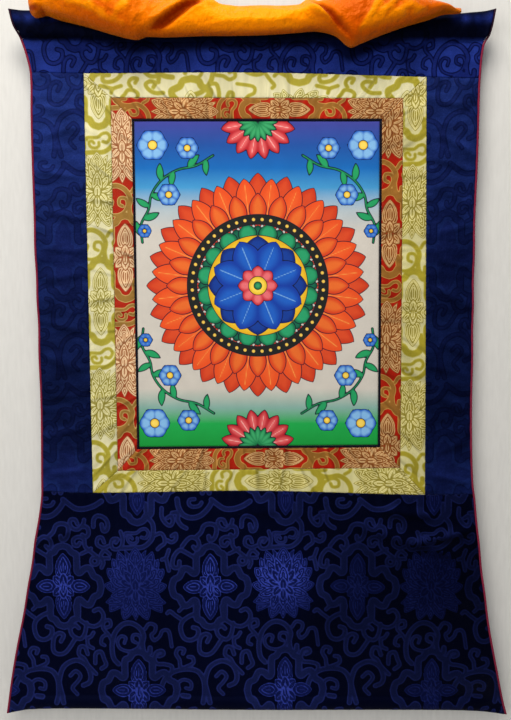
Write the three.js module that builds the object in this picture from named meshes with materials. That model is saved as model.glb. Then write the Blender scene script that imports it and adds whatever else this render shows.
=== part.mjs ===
// A hanging scroll painting: a painted canvas in two brocade frames, sewn into a dark blue
// damask mounting with a flared foot, red edge piping and an orange silk veil gathered
// along its top. Millimetres, +X to the viewer's right, -Y towards the viewer, +Z up.
// The origin is the middle of the top edge, where the scroll hangs.
import * as THREE from "three";

const SHEET = 1.6; // brocade and damask with their seam allowances
const CANVAS = 1.2;
const VEIL = 1.6;
const SEAM_INSET = 0.22; // how far each piece steps back from a shared seam
const CORD = 3.2; // outside width of the red edge piping
const CORD_GAP = 0.8;
const CORD_SIDES = 6;
const CORD_RINGS = 64;
const CROWDING = 1.35; // sets the rings of a cord closer together towards its curved top
const DARK_PIPING = 3; // width of the dark strip round the canvas
const DARK_PIPING_RISE = 0.8; // how far it stands proud of the cloth
const ROD_HEM = { share: 0.45, front: 9, back: 7, end: 24 }; // share of the heading's height
const FOOT_HEM = { share: 0.06, front: 4, back: 4, end: 34 };
// The two top corners, past the ends of the hidden rod, flop towards the viewer.
const TOP_CORNERS = { from: 300, to: 340, high: -10, low: -85, forward: 12 };

// Outline and seams, as rows down or across the cloth.
const LEFT_EDGE = [
  { z: 5, x: -336 },
  { z: -19, x: -331 },
  { z: -35, x: -323 },
  { z: -65, x: -314 },
  { z: -82, x: -311 },
  { z: -130, x: -310 },
  { z: -308, x: -309 },
  { z: -434, x: -307 },
  { z: -662, x: -307 },
  { z: -702, x: -312 },
  { z: -749, x: -320 },
  { z: -786, x: -326 },
  { z: -856, x: -339 },
  { z: -933, x: -354 },
  { z: -972, x: -360 },
  { z: -992, x: -363 },
];
const RIGHT_EDGE = [
  { z: 7, x: 328 },
  { z: -29, x: 322 },
  { z: -43, x: 315 },
  { z: -85, x: 311 },
  { z: -146, x: 310 },
  { z: -308, x: 308 },
  { z: -434, x: 308 },
  { z: -560, x: 308 },
  { z: -648, x: 310 },
  { z: -678, x: 314 },
  { z: -742, x: 321 },
  { z: -804, x: 329 },
  { z: -869, x: 339 },
  { z: -930, x: 351 },
  { z: -976, x: 362 },
  { z: -994, x: 367 },
];
const TOP_EDGE = [
  { x: -336, z: 5 },
  { x: -323, z: -1 },
  { x: -295, z: -4 },
  { x: -240, z: -1 },
  { x: 276, z: 0 },
  { x: 301, z: 0 },
  { x: 315, z: 3 },
  { x: 328, z: 7 },
];
const HEADING_SEAM = [
  { x: -312, z: -79 },
  { x: -237, z: -80 },
  { x: 0, z: -79 },
  { x: 236, z: -85 },
  { x: 312, z: -87 },
];
const FOOT_SEAM = [
  { x: -308, z: -664 },
  { x: -232, z: -666 },
  { x: 0, z: -663 },
  { x: 242, z: -669 },
  { x: 311, z: -667 },
];
const FOOT_EDGE = [
  { x: -363, z: -992 },
  { x: -328, z: -986 },
  { x: -241, z: -985 },
  { x: 0, z: -987 },
  { x: 254, z: -987 },
  { x: 327, z: -989 },
  { x: 367, z: -994 },
];

// The corners of each frame: top left, top right, bottom right, bottom left.
const GOLD_OUTSIDE = [
  { x: -237, z: -80 },
  { x: 236, z: -85 },
  { x: 242, z: -669 },
  { x: -232, z: -666 },
];
const RED_OUTSIDE = [
  { x: -200, z: -113 },
  { x: 204, z: -114 },
  { x: 206, z: -630 },
  { x: -196, z: -634 },
];
const CANVAS_OUTSIDE = [
  { x: -168, z: -145 },
  { x: 172, z: -145 },
  { x: 174, z: -597 },
  { x: -165, z: -600 },
];

// The veil, section by section along the heading: its lowest fold, its highest fold, how far
// it stands out from the cloth and the height at which it is sewn to the front of the rod hem.
const VEIL_SECTIONS = [
  { x: -301, low: -9, top: 22, out: 24, sewn: -8 },
  { x: -296, low: -15, top: 27, out: 28, sewn: -8 },
  { x: -288, low: -12, top: 31, out: 32, sewn: -7 },
  { x: -282, low: -9, top: 33, out: 34, sewn: -7 },
  { x: -262, low: -16, top: 36, out: 37, sewn: -13 },
  { x: -222, low: -28, top: 42, out: 42, sewn: -18 },
  { x: -189, low: -38, top: 38, out: 45, sewn: -18 },
  { x: -160, low: -44, top: 26, out: 47, sewn: -18 },
  { x: -147, low: -40, top: 16, out: 42, sewn: -18 },
  { x: -124, low: -40, top: 9, out: 37, sewn: -18 },
  { x: -92, low: -39, top: 25, out: 37, sewn: -18 },
  { x: -66, low: -38, top: 14, out: 36, sewn: -18 },
  { x: -45, low: -38, top: 0, out: 35, sewn: -18 },
  { x: 9, low: -37, top: -1, out: 35, sewn: -18 },
  { x: 57, low: -34, top: 0, out: 35, sewn: -18 },
  { x: 71, low: -33, top: 7, out: 38, sewn: -18 },
  { x: 85, low: -33, top: 4, out: 39, sewn: -18 },
  { x: 108, low: -39, top: 13, out: 41, sewn: -18 },
  { x: 127, low: -53, top: 27, out: 42, sewn: -18 },
  { x: 140, low: -49, top: 33, out: 42, sewn: -18 },
  { x: 168, low: -38, top: 36, out: 41, sewn: -18 },
  { x: 204, low: -26, top: 22, out: 37, sewn: -17 },
  { x: 232, low: -19, top: 7, out: 31, sewn: -15 },
  { x: 254, low: -15, top: 2, out: 25, sewn: -12 },
  { x: 268, low: -14, top: -2, out: 20, sewn: -10 },
  { x: 278, low: -13, top: -4, out: 16, sewn: -9 },
];
// Pleats that cross the veil on a slant: where each starts low down, how far across it leans
// by the time it has climbed, how proud its lip stands, and the hollow beside it.
const VEIL_PLEATS = [
  { x: -160, low: -46, lean: 62, rise: 44, lip: 4, hollow: 11, wide: 25 },
  { x: 124, low: -53, lean: -46, rise: 46, lip: 5, hollow: 8, wide: 14 },
];
const PLEAT_WIDTH = 7;
const VEIL_COLUMNS = 44;
const VEIL_ROWS = 14;
const VEIL_SEAM_Y = -(ROD_HEM.front + SHEET / 2 + VEIL / 2 + CORD_GAP);

const COLOURS = {
  blue: { color: 0x0d1650, roughness: 0.5 },
  gold: { color: 0xcdbf6a, roughness: 0.38 },
  red: { color: 0xb5643c, roughness: 0.42 },
  canvas: { color: 0xd9cfc4, roughness: 0.8 },
  dark: { color: 0x0a0c1c, roughness: 0.7 },
  piping: { color: 0x8c1426, roughness: 0.6 },
  veil: { color: 0xf58a08, roughness: 0.4 },
};

const root = new THREE.Group();
const lerp = THREE.MathUtils.lerp;
const clamp = THREE.MathUtils.clamp;
const smooth = THREE.MathUtils.smoothstep;

// The value at a place in a table, on a smooth curve through its rows.
function follow(table, key, value, at) {
  const down = table[1][key] > table[0][key] ? 1 : -1;
  let i = 1;
  while (i < table.length - 1 && down * (at - table[i][key]) > 0) i += 1;
  const slope = (j) => {
    const before = table[Math.max(j - 1, 0)];
    const after = table[Math.min(j + 1, table.length - 1)];
    return (after[value] - before[value]) / (after[key] - before[key]);
  };
  const from = table[i - 1];
  const to = table[i];
  const span = to[key] - from[key];
  const t = clamp((at - from[key]) / span, 0, 1);
  const h = t * t * (3 - 2 * t);
  const start = t * (1 - t) * (1 - t) * slope(i - 1);
  const end = t * t * (t - 1) * slope(i);
  return lerp(from[value], to[value], h) + span * (start + end);
}

// How far the hanging cloth lies in front of (negative) or behind (positive) its flat plane.
function relief(x, z) {
  const { from, to, high, low, forward } = TOP_CORNERS;
  const corner = smooth(Math.abs(x), from, to) * (1 - smooth(-z, -high, -low));
  const below = smooth(-z, 40, 130);
  const above = 1 - smooth(-z, 930, 985);
  const free = below * above;
  const side = smooth(Math.abs(x), 235, 315);
  const foot = smooth(-z, 670, 800) * above;
  const belly = -2.5 * Math.sin((Math.PI * (-z - 40)) / 930);
  const ripples = 1.3 * side * Math.sin(z / 17 + 2 * Math.sin(z / 61) + x / 90);
  const curl = -4.5 * side * side * Math.sin(z / 150 + (x > 0 ? 0.9 : 2.4));
  const waves = 3.2 * foot * Math.sin(x / 62 + 0.8) + 1.4 * foot * Math.sin(x / 29 - z / 80);
  const crease = -3 * ridge(x, z, { x: 150, z: -676 }, { x: 305, z: -742 }, 11);
  return free * (belly + ripples + curl + waves + crease) - forward * corner;
}

// A soft ridge of height 1 along the line between two points.
function ridge(x, z, from, to, width) {
  const along = { x: to.x - from.x, z: to.z - from.z };
  const length = Math.hypot(along.x, along.z);
  const t = ((x - from.x) * along.x + (z - from.z) * along.z) / length;
  const off = ((x - from.x) * along.z - (z - from.z) * along.x) / length;
  const ends = smooth(t, 0, length * 0.3) * (1 - smooth(t, length * 0.8, length));
  return ends * Math.exp((-off * off) / (width * width));
}

// A straight line between two corners.
const line = (a, b) => (t) => ({ x: lerp(a.x, b.x, t), z: lerp(a.z, b.z, t) });

// A line across the cloth that follows a seam or edge table.
const across = (table, from, to) => (t) => {
  const x = lerp(from, to, t);
  return { x, z: follow(table, "x", "z", x) };
};

// How far to step sideways for a step of 1 square to an outline.
function sideways(table, z) {
  const near = 2;
  const slope = (follow(table, "z", "x", z + near) - follow(table, "z", "x", z - near)) / (2 * near);
  return Math.hypot(1, slope);
}

// A line down the cloth that follows an outline, stepped in from it by the piping's width.
const INSET = CORD + CORD_GAP;
const down = (table, inward, from, to) => (t) => {
  const z = lerp(from, to, t);
  return { x: follow(table, "z", "x", z) + inward * INSET * sideways(table, z), z };
};

// The surface spanned by four edges that meet at their corners.
function span(top, bottom, left, right) {
  return (u, v) => {
    const corner = (name) =>
      lerp(lerp(top(0)[name], top(1)[name], u), lerp(bottom(0)[name], bottom(1)[name], u), v);
    const value = (name) =>
      lerp(top(u)[name], bottom(u)[name], v) +
      lerp(left(v)[name], right(v)[name], u) -
      corner(name);
    return { x: value("x"), z: value("z") };
  };
}

// Evenly spaced steps from 0 to 1.
const steps = (count) => Array.from({ length: count + 1 }, (_, i) => i / count);

// A closed solid between a front and a back surface, each a function of two parameters.
function slab(name, colour, columns, rows, front, back) {
  const wide = columns.length;
  const high = rows.length;
  const points = [];
  for (const surface of [front, back])
    for (const v of rows) for (const u of columns) points.push(surface(u, v));
  const at = (i, j, layer) => layer * wide * high + j * wide + i;
  const faces = [];
  const quad = (a, b, c, d) => faces.push([a, b, c], [a, c, d]);
  for (let j = 0; j < high - 1; j += 1)
    for (let i = 0; i < wide - 1; i += 1) {
      quad(at(i, j, 0), at(i, j + 1, 0), at(i + 1, j + 1, 0), at(i + 1, j, 0));
      quad(at(i, j, 1), at(i + 1, j, 1), at(i + 1, j + 1, 1), at(i, j + 1, 1));
    }
  for (let i = 0; i < wide - 1; i += 1) {
    quad(at(i, 0, 0), at(i + 1, 0, 0), at(i + 1, 0, 1), at(i, 0, 1));
    quad(at(i, high - 1, 0), at(i, high - 1, 1), at(i + 1, high - 1, 1), at(i + 1, high - 1, 0));
  }
  for (let j = 0; j < high - 1; j += 1) {
    quad(at(0, j, 0), at(0, j, 1), at(0, j + 1, 1), at(0, j + 1, 0));
    quad(at(wide - 1, j, 0), at(wide - 1, j + 1, 0), at(wide - 1, j + 1, 1), at(wide - 1, j, 1));
  }
  return addMesh(name, colour, points, faces);
}

// Adds a named mesh, with its faces turned outwards.
function addMesh(name, colour, points, faces) {
  const volume = faces.reduce((sum, [a, b, c]) => {
    const normal = new THREE.Vector3().crossVectors(points[b], points[c]);
    return sum + points[a].dot(normal);
  }, 0);
  const turned = volume < 0 ? faces.map(([a, b, c]) => [a, c, b]) : faces;
  const geometry = new THREE.BufferGeometry().setFromPoints(points);
  geometry.setIndex(turned.flat());
  geometry.computeVertexNormals();
  const mesh = new THREE.Mesh(geometry, new THREE.MeshStandardMaterial(COLOURS[colour]));
  mesh.name = name;
  root.add(mesh);
  return mesh;
}

// A piece of cloth that hangs in the plane of the scroll. bulge gives how far its front and
// back stand out beyond the cloth's own thickness.
function hung(name, colour, place, columns, rows, thickness, size, bulge) {
  const inset = (t, length) => {
    const gap = SEAM_INSET / length;
    return gap + t * (1 - 2 * gap);
  };
  const face = (side) => (u, v) => {
    const { x, z } = place(inset(u, size.wide), inset(v, size.high));
    const extra = bulge ? bulge(x, v, side) : 0;
    return new THREE.Vector3(x, relief(x, z) + side * (thickness / 2 + extra), z);
  };
  return slab(name, colour, columns, rows, face(-1), face(1));
}

// The share of a rod hem's full depth at a height within it, 0 at its edges and 1 at its middle.
const roundness = (t) => Math.sqrt(Math.max(0, 1 - (2 * t - 1) ** 2));

// The heading: the top panel, with the hem that holds the hanging rod.
function heading() {
  const edge = across(TOP_EDGE, LEFT_EDGE[0].x + INSET, RIGHT_EDGE[0].x - INSET);
  const seamEnds = { left: -311 + INSET, right: 311 - INSET };
  const place = span(
    edge,
    across(HEADING_SEAM, seamEnds.left, seamEnds.right),
    down(LEFT_EDGE, 1, TOP_EDGE[0].z, follow(HEADING_SEAM, "x", "z", seamEnds.left)),
    down(RIGHT_EDGE, -1, TOP_EDGE.at(-1).z, follow(HEADING_SEAM, "x", "z", seamEnds.right)),
  );
  const { share, front, back, end } = ROD_HEM;
  const ends = (x) => 0.3 + 0.7 * smooth(321 - Math.abs(x + 4), 0, end);
  const bulge = (x, v, side) =>
    v < share ? roundness(v / share) * ends(x) * (side < 0 ? front : back) : 0;
  const hemRows = [0, 0.03, 0.1, 0.22, 0.36, 0.5, 0.64, 0.78, 0.9, 1].map((t) => t * share);
  const rows = [...hemRows, 0.6, 0.8, 1];
  hung("heading", "blue", place, steps(24), rows, SHEET, { wide: 640, high: 80 }, bulge);
}

// The two blue side panels, from the heading to the foot.
function sidePanels() {
  const sides = [
    { name: "side_left", table: LEFT_EDGE, inward: 1, edge: -1, gold: [0, 3] },
    { name: "side_right", table: RIGHT_EDGE, inward: -1, edge: 1, gold: [1, 2] },
  ];
  for (const { name, table, inward, edge, gold } of sides) {
    const outer = { top: edge * 311 + inward * INSET, foot: edge * 308.5 + inward * INSET };
    const [high, low] = gold.map((i) => GOLD_OUTSIDE[i]);
    const top = across(HEADING_SEAM, outer.top, high.x);
    const foot = across(FOOT_SEAM, outer.foot, low.x);
    const rim = down(table, inward, top(0).z, foot(0).z);
    const place = span(top, foot, rim, line(high, low));
    hung(name, "blue", place, steps(4), steps(28), SHEET, { wide: 70, high: 585 });
  }
}

// The flared blue foot, with the hem that weighs it down.
function footPanel() {
  const seamEnds = { left: -307 + INSET, right: 312.5 - INSET };
  const place = span(
    across(FOOT_SEAM, seamEnds.left, seamEnds.right),
    across(FOOT_EDGE, LEFT_EDGE.at(-1).x + INSET, RIGHT_EDGE.at(-1).x - INSET),
    down(LEFT_EDGE, 1, follow(FOOT_SEAM, "x", "z", seamEnds.left), LEFT_EDGE.at(-1).z),
    down(RIGHT_EDGE, -1, follow(FOOT_SEAM, "x", "z", seamEnds.right), RIGHT_EDGE.at(-1).z),
  );
  const { share, front, back, end } = FOOT_HEM;
  const ends = (x) => smooth(350 - Math.abs(x), 0, end);
  const bulge = (x, v, side) => {
    const t = (v - (1 - share)) / share;
    return t > 0 ? roundness(t) * ends(x) * (side < 0 ? front : back) : 0;
  };
  const flatRows = steps(11).map((t) => t * (1 - share));
  const hemRows = [0.15, 0.4, 0.7, 0.92, 1].map((t) => 1 - share + t * share);
  const rows = [...flatRows, ...hemRows];
  hung("foot", "blue", place, steps(24), rows, SHEET, { wide: 660, high: 320 }, bulge);
}

// The four mitred strips of a frame, between an outer and an inner set of corners.
function frameStrips(prefix, colour, outer, inner, sizes) {
  const names = ["top", "right", "bottom", "left"];
  names.forEach((side, i) => {
    const next = (i + 1) % 4;
    const place = span(
      outerEdge(outer, i, next),
      line(inner[i], inner[next]),
      line(outer[i], inner[i]),
      line(outer[next], inner[next]),
    );
    const { long, deep, columns, rows, thickness, bulge } = sizes;
    const size = { wide: long, high: deep };
    hung(`${prefix}_${side}`, colour, place, steps(columns), steps(rows), thickness, size, bulge);
  });
}

// An outer edge of the gold frame follows the seam that it is sewn into; the others are straight.
function outerEdge(corners, i, next) {
  if (corners === GOLD_OUTSIDE && i === 0)
    return across(HEADING_SEAM, corners[i].x, corners[next].x);
  if (corners === GOLD_OUTSIDE && i === 2)
    return across(FOOT_SEAM, corners[i].x, corners[next].x);
  return line(corners[i], corners[next]);
}

// The painted canvas.
function canvas() {
  const [a, b, c, d] = CANVAS_OUTSIDE;
  const place = span(line(a, b), line(d, c), line(a, d), line(b, c));
  hung("canvas", "canvas", place, steps(10), steps(12), CANVAS, { wide: 340, high: 453 });
}

// A rectangle's corners moved outwards by a margin.
function grow(corners, margin) {
  const middle = {
    x: corners.reduce((sum, c) => sum + c.x, 0) / 4,
    z: corners.reduce((sum, c) => sum + c.z, 0) / 4,
  };
  return corners.map((c) => ({
    x: c.x + Math.sign(c.x - middle.x) * margin,
    z: c.z + Math.sign(c.z - middle.z) * margin,
  }));
}

// The red piping down each side, a cord that follows the outline.
function edgePiping(name, table, inward) {
  const points = [];
  const high = table[0].z;
  const low = table.at(-1).z;
  for (let j = 0; j <= CORD_RINGS; j += 1) {
    const z = lerp(high, low, (j / CORD_RINGS) ** CROWDING);
    const x = follow(table, "z", "x", z) + (inward * CORD * sideways(table, z)) / 2;
    for (let i = 0; i < CORD_SIDES; i += 1) {
      const angle = (2 * Math.PI * i) / CORD_SIDES;
      const out = (CORD / 2) * Math.cos(angle);
      const depth = (CORD / 2) * Math.sin(angle);
      points.push(new THREE.Vector3(x + out, relief(x, z) + depth, z));
    }
  }
  const faces = [];
  for (let j = 0; j < CORD_RINGS; j += 1)
    for (let i = 0; i < CORD_SIDES; i += 1) {
      const a = j * CORD_SIDES + i;
      const b = j * CORD_SIDES + ((i + 1) % CORD_SIDES);
      faces.push([a, b, b + CORD_SIDES], [a, b + CORD_SIDES, a + CORD_SIDES]);
    }
  const last = CORD_RINGS * CORD_SIDES;
  for (let i = 1; i < CORD_SIDES - 1; i += 1) {
    faces.push([0, i + 1, i], [last, last + i, last + i + 1]);
  }
  addMesh(name, "piping", points, faces);
}

// One section of the gathered veil: sewn to the rod hem, down behind, round the low fold,
// up the front, over the top and tucked back inside. A low section has a small tuck.
function veilSection(low, top, out, sewn) {
  const forward = (share) => lerp(VEIL_SEAM_Y, -(10 + out), share);
  const height = top - low;
  const crown = Math.max(top, sewn + 5);
  const tuck = Math.min(1, (crown - sewn) / 17);
  return [
    [VEIL_SEAM_Y, sewn],
    [VEIL_SEAM_Y - 0.8, lerp(sewn, low, 0.45)],
    [forward(0.12), low + clamp((sewn - low) * 0.3, 0.4, 4)],
    [forward(0.32), low + 0.4],
    [forward(0.72), low + 0.07 * height],
    [forward(0.97), low + 0.3 * height],
    [forward(0.98), low + 0.52 * height],
    [forward(0.82), low + 0.76 * height],
    [forward(0.55), crown - tuck],
    [forward(0.3), crown - 3 * tuck],
    [forward(0.2), crown - 9 * tuck],
    [forward(0.3), sewn + 6 * tuck],
    [forward(0.5), sewn + tuck],
  ].map(([y, z]) => new THREE.Vector3(0, y, z));
}

// How far the pleats push the veil's front out (positive) or in.
function veilPleats(x, z) {
  return VEIL_PLEATS.reduce((sum, { x: start, low, lean, rise, lip, hollow, wide }) => {
    const climb = (z - low) / rise;
    const off = x - (start + lean * climb);
    const edge = lip * Math.exp(-((off + PLEAT_WIDTH / 2) ** 2) / PLEAT_WIDTH ** 2);
    const dip = hollow * smooth(off, -1, 6) * (1 - smooth(off, wide * 0.6, wide * 1.3));
    const reach = smooth(climb, -0.2, 0.15) * (1 - smooth(climb, 0.9, 1.2));
    return sum + (edge - dip) * reach;
  }, 0);
}

// The veil's middle surface at a place along the heading and round its section.
function veilPoint(u, s) {
  const x = lerp(VEIL_SECTIONS[0].x, VEIL_SECTIONS.at(-1).x, u);
  const size = (name) => follow(VEIL_SECTIONS, "x", name, x);
  const section = new THREE.CatmullRomCurve3(
    veilSection(size("low"), size("top"), size("out"), size("sewn")),
    false,
    "centripetal",
  );
  const point = section.getPoint(s);
  const outer = smooth(s, 0.25, 0.42) * (1 - smooth(s, 0.62, 0.75));
  point.x = x;
  point.y -= outer * veilPleats(x, point.z);
  return point;
}

// The veil as a closed sheet, half its thickness to each side of its middle surface.
function veil() {
  const tiny = 0.004;
  const face = (side) => (u, s) => {
    const at = (a, b) => veilPoint(clamp(a, 0, 1), clamp(b, 0, 1));
    const alongX = at(u + tiny, s).sub(at(u - tiny, s));
    const roundS = at(u, s + tiny).sub(at(u, s - tiny));
    const normal = alongX.cross(roundS).normalize();
    return at(u, s).addScaledVector(normal, (side * VEIL) / 2);
  };
  slab("veil", "veil", steps(VEIL_COLUMNS), steps(VEIL_ROWS), face(-1), face(1));
}

heading();
sidePanels();
footPanel();
frameStrips("gold", "gold", GOLD_OUTSIDE, RED_OUTSIDE, {
  long: 500,
  deep: 36,
  columns: 16,
  rows: 2,
  thickness: SHEET,
});
const darkOutside = grow(CANVAS_OUTSIDE, DARK_PIPING);
frameStrips("red", "red", RED_OUTSIDE, darkOutside, {
  long: 400,
  deep: 32,
  columns: 16,
  rows: 2,
  thickness: SHEET,
});
frameStrips("dark_piping", "dark", darkOutside, CANVAS_OUTSIDE, {
  long: 400,
  deep: 3,
  columns: 12,
  rows: 2,
  thickness: SHEET,
  bulge: (x, v) => DARK_PIPING_RISE * roundness(v),
});
canvas();
edgePiping("piping_left", LEFT_EDGE, 1);
edgePiping("piping_right", RIGHT_EDGE, -1);
veil();

export default root;
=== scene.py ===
"""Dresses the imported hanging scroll: woven damask and brocade cloths, a painted canvas and a silk veil.

Lengths are in millimetres in the cloth's own plane and turned into metres when a mesh is made.
X runs to the viewer's right, -Y towards the viewer and Z up, from the middle of the top edge.
"""

import math

import bpy
import numpy as np
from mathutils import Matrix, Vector

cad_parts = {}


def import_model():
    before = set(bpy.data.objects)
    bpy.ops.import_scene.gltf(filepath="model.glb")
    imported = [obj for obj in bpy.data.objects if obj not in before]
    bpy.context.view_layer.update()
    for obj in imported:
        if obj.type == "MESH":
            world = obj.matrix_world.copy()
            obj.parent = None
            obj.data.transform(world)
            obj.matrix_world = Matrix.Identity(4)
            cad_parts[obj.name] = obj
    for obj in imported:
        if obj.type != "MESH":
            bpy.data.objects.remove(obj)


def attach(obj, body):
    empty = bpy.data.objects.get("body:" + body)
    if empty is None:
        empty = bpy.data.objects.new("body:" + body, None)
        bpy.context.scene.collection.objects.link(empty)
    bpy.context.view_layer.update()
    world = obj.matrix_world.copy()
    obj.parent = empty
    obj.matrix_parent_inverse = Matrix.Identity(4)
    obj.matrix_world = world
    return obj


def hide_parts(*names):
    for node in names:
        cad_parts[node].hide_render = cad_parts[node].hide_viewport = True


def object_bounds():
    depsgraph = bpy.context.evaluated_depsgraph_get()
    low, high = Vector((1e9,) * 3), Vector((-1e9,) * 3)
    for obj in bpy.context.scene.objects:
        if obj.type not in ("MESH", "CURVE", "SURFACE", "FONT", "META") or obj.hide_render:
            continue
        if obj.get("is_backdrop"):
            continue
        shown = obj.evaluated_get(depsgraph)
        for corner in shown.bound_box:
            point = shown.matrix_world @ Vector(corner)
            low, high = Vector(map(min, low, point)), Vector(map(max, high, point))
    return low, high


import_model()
cad_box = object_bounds()

MM = 0.001
COARSE = 1.0

# Spacing of the fine grids, in millimetres.
SPACING = {
    "blue": 1.75 * COARSE,
    "brocade": 1.25 * COARSE,
    "canvas": 1.7 * COARSE,
    "piping": 2.5 * COARSE,
    "veil": 2.2 * COARSE,
}
BACK_STEP = 6  # a back face is this many front cells wide

# Thicknesses of the cloths, and how far each stops short of its seams.
SHEET = 1.6
CANVAS = 1.2
VEIL = 1.2
SEAM_INSET = 0.12
# How far a cloth's edge turns back at its seam, and how soon that fades out.
SEAM_TURN = 0.5
SEAM_TURN_REACH = 1.3
# How far the woven pattern stands out.
BAND_RISE = 0.22
BLOOM_RISE = 0.3
# The crimson cord down the sides: its diameter, and how far it lies back, more so at the rod hem.
CORD = 3.2
CORD_BACK = 0.8
CORD_AT_HEM = {"z": -33, "reach": 9, "back": 1.2}
# The dark piping round the canvas: its width, and how far it stands out.
DARK_PIPING = 3
DARK_PIPING_RISE = 0.8
# The hems: their share of the cloth's height, their depths in front and behind, the half width
# where they run out and how long before it they start to.
ROD_HEM = {"share": 0.45, "front": 9, "back": 7, "half": 321, "end": 24, "middle": -4}
FOOT_HEM = {"share": 0.06, "front": 4, "back": 4, "half": 350, "end": 34}
# The top corners curl forwards between these places.
TOP_CORNERS = {"from": 300, "to": 340, "high": 10, "low": 85, "forward": 12}
# Where the cloth hangs free of its two hems, and where its foot and its sides start to wave, each
# over a soft stretch: from the top edge down, and for the sides from the middle outwards.
BELOW_ROD_HEM = (40, 130)
ABOVE_FOOT_HEM = (930, 985)
FOOT_WAVES = (670, 800)
SIDE_WAVES = (235, 315)
BELLY = {"from": 40, "long": 930, "forward": 2.5}


def table(text):
    """Rows of numbers under named columns, as {column: array}."""
    lines = [line.split() for line in text.strip().splitlines()]
    columns = np.array(lines[1:], float).T
    return dict(zip(lines[0], columns))


def each(columns):
    """The rows of a table, one after another."""
    return zip(*columns.values())


# Outline and seams, as rows down or across the cloth. They are the part's, apart from the top edge:
# its corners are a little lower, and it is higher beside the veil's left end.
LEFT_EDGE = table("""
   z    x
   2 -336
 -19 -331
 -35 -323
 -65 -314
 -82 -311
-130 -310
-308 -309
-434 -307
-662 -307
-702 -312
-749 -320
-786 -326
-856 -339
-933 -354
-972 -360
-992 -363
""")
RIGHT_EDGE = table("""
   z    x
   3  328
 -29  322
 -43  315
 -85  311
-146  310
-308  308
-434  308
-560  308
-648  310
-678  314
-742  321
-804  329
-869  339
-930  351
-976  362
-994  367
""")
TOP_EDGE = table("""
   x    z
-336    2
-323    2
-295    5
-240   -1
 276    0
 301    2
 315    2
 328    3
""")
HEADING_SEAM = table("""
   x    z
-312  -79
-237  -80
   0  -79
 236  -85
 312  -87
""")
FOOT_SEAM = table("""
   x    z
-308 -664
-232 -666
   0 -663
 242 -669
 311 -667
""")
FOOT_EDGE = table("""
   x    z
-363 -992
-328 -986
-241 -985
   0 -987
 254 -987
 327 -989
 367 -994
""")

# The corners of each frame: top left, top right, bottom right, bottom left.
GOLD_OUTSIDE = [(-237, -80), (236, -85), (242, -669), (-232, -666)]
RED_OUTSIDE = [(-200, -113), (204, -114), (206, -630), (-196, -634)]
CANVAS_OUTSIDE = [(-168, -145), (172, -145), (174, -597), (-165, -600)]


def smooth(value, low, high):
    t = np.clip((value - low) / (high - low), 0, 1)
    return t * t * (3 - 2 * t)


def lerp(a, b, t):
    return a + (b - a) * t


def follow(rows, key, value, at):
    """The value at a place in a table, on a smooth curve through its rows."""
    keys, values = rows[key], rows[value]
    down = 1 if keys[1] > keys[0] else -1
    at = np.asarray(at, float)
    i = np.clip(np.searchsorted(keys * down, at * down), 1, len(keys) - 1)
    before = np.maximum(np.arange(len(keys)) - 1, 0)
    after = np.minimum(np.arange(len(keys)) + 1, len(keys) - 1)
    slopes = (values[after] - values[before]) / (keys[after] - keys[before])
    span = keys[i] - keys[i - 1]
    t = np.clip((at - keys[i - 1]) / span, 0, 1)
    start = t * (1 - t) * (1 - t) * slopes[i - 1]
    end = t * t * (t - 1) * slopes[i]
    return lerp(values[i - 1], values[i], t * t * (3 - 2 * t)) + span * (start + end)


def ridge(x, z, start, end, width):
    """A soft ridge of height 1 along the line between two points."""
    along = np.subtract(end, start)
    length = np.hypot(*along)
    t = ((x - start[0]) * along[0] + (z - start[1]) * along[1]) / length
    off = ((x - start[0]) * along[1] - (z - start[1]) * along[0]) / length
    ends = smooth(t, 0, length * 0.3) * (1 - smooth(t, length * 0.8, length))
    return ends * np.exp(-off * off / (width * width))


def ridges(rows, x, z):
    """The height of all the ridges in a table together."""
    height = np.zeros_like(x)
    for x1, z1, x2, z2, proud, width in each(rows):
        height += proud * ridge(x, z, (x1, z1), (x2, z2), width)
    return height


def relief(x, z):
    """How far the hanging cloth lies in front of (negative) or behind its flat plane."""
    corner = smooth(np.abs(x), TOP_CORNERS["from"], TOP_CORNERS["to"])
    corner = corner * (1 - smooth(-z, TOP_CORNERS["high"], TOP_CORNERS["low"]))
    above = 1 - smooth(-z, *ABOVE_FOOT_HEM)
    free = smooth(-z, *BELOW_ROD_HEM) * above
    side = smooth(np.abs(x), *SIDE_WAVES)
    foot = smooth(-z, *FOOT_WAVES) * above
    belly = -BELLY["forward"] * np.sin(np.pi * (-z - BELLY["from"]) / BELLY["long"])
    ripples = 1.3 * side * np.sin(z / 17 + 2 * np.sin(z / 61) + x / 90)
    curl = -4.5 * side * side * np.sin(z / 150 + np.where(x > 0, 0.9, 2.4))
    waves = 3.2 * foot * np.sin(x / 62 + 0.8) + 1.4 * foot * np.sin(x / 29 - z / 80)
    crease = -3 * ridge(x, z, (150, -676), (305, -742), 11)
    return free * (belly + ripples + curl + waves + crease) - TOP_CORNERS["forward"] * corner


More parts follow.
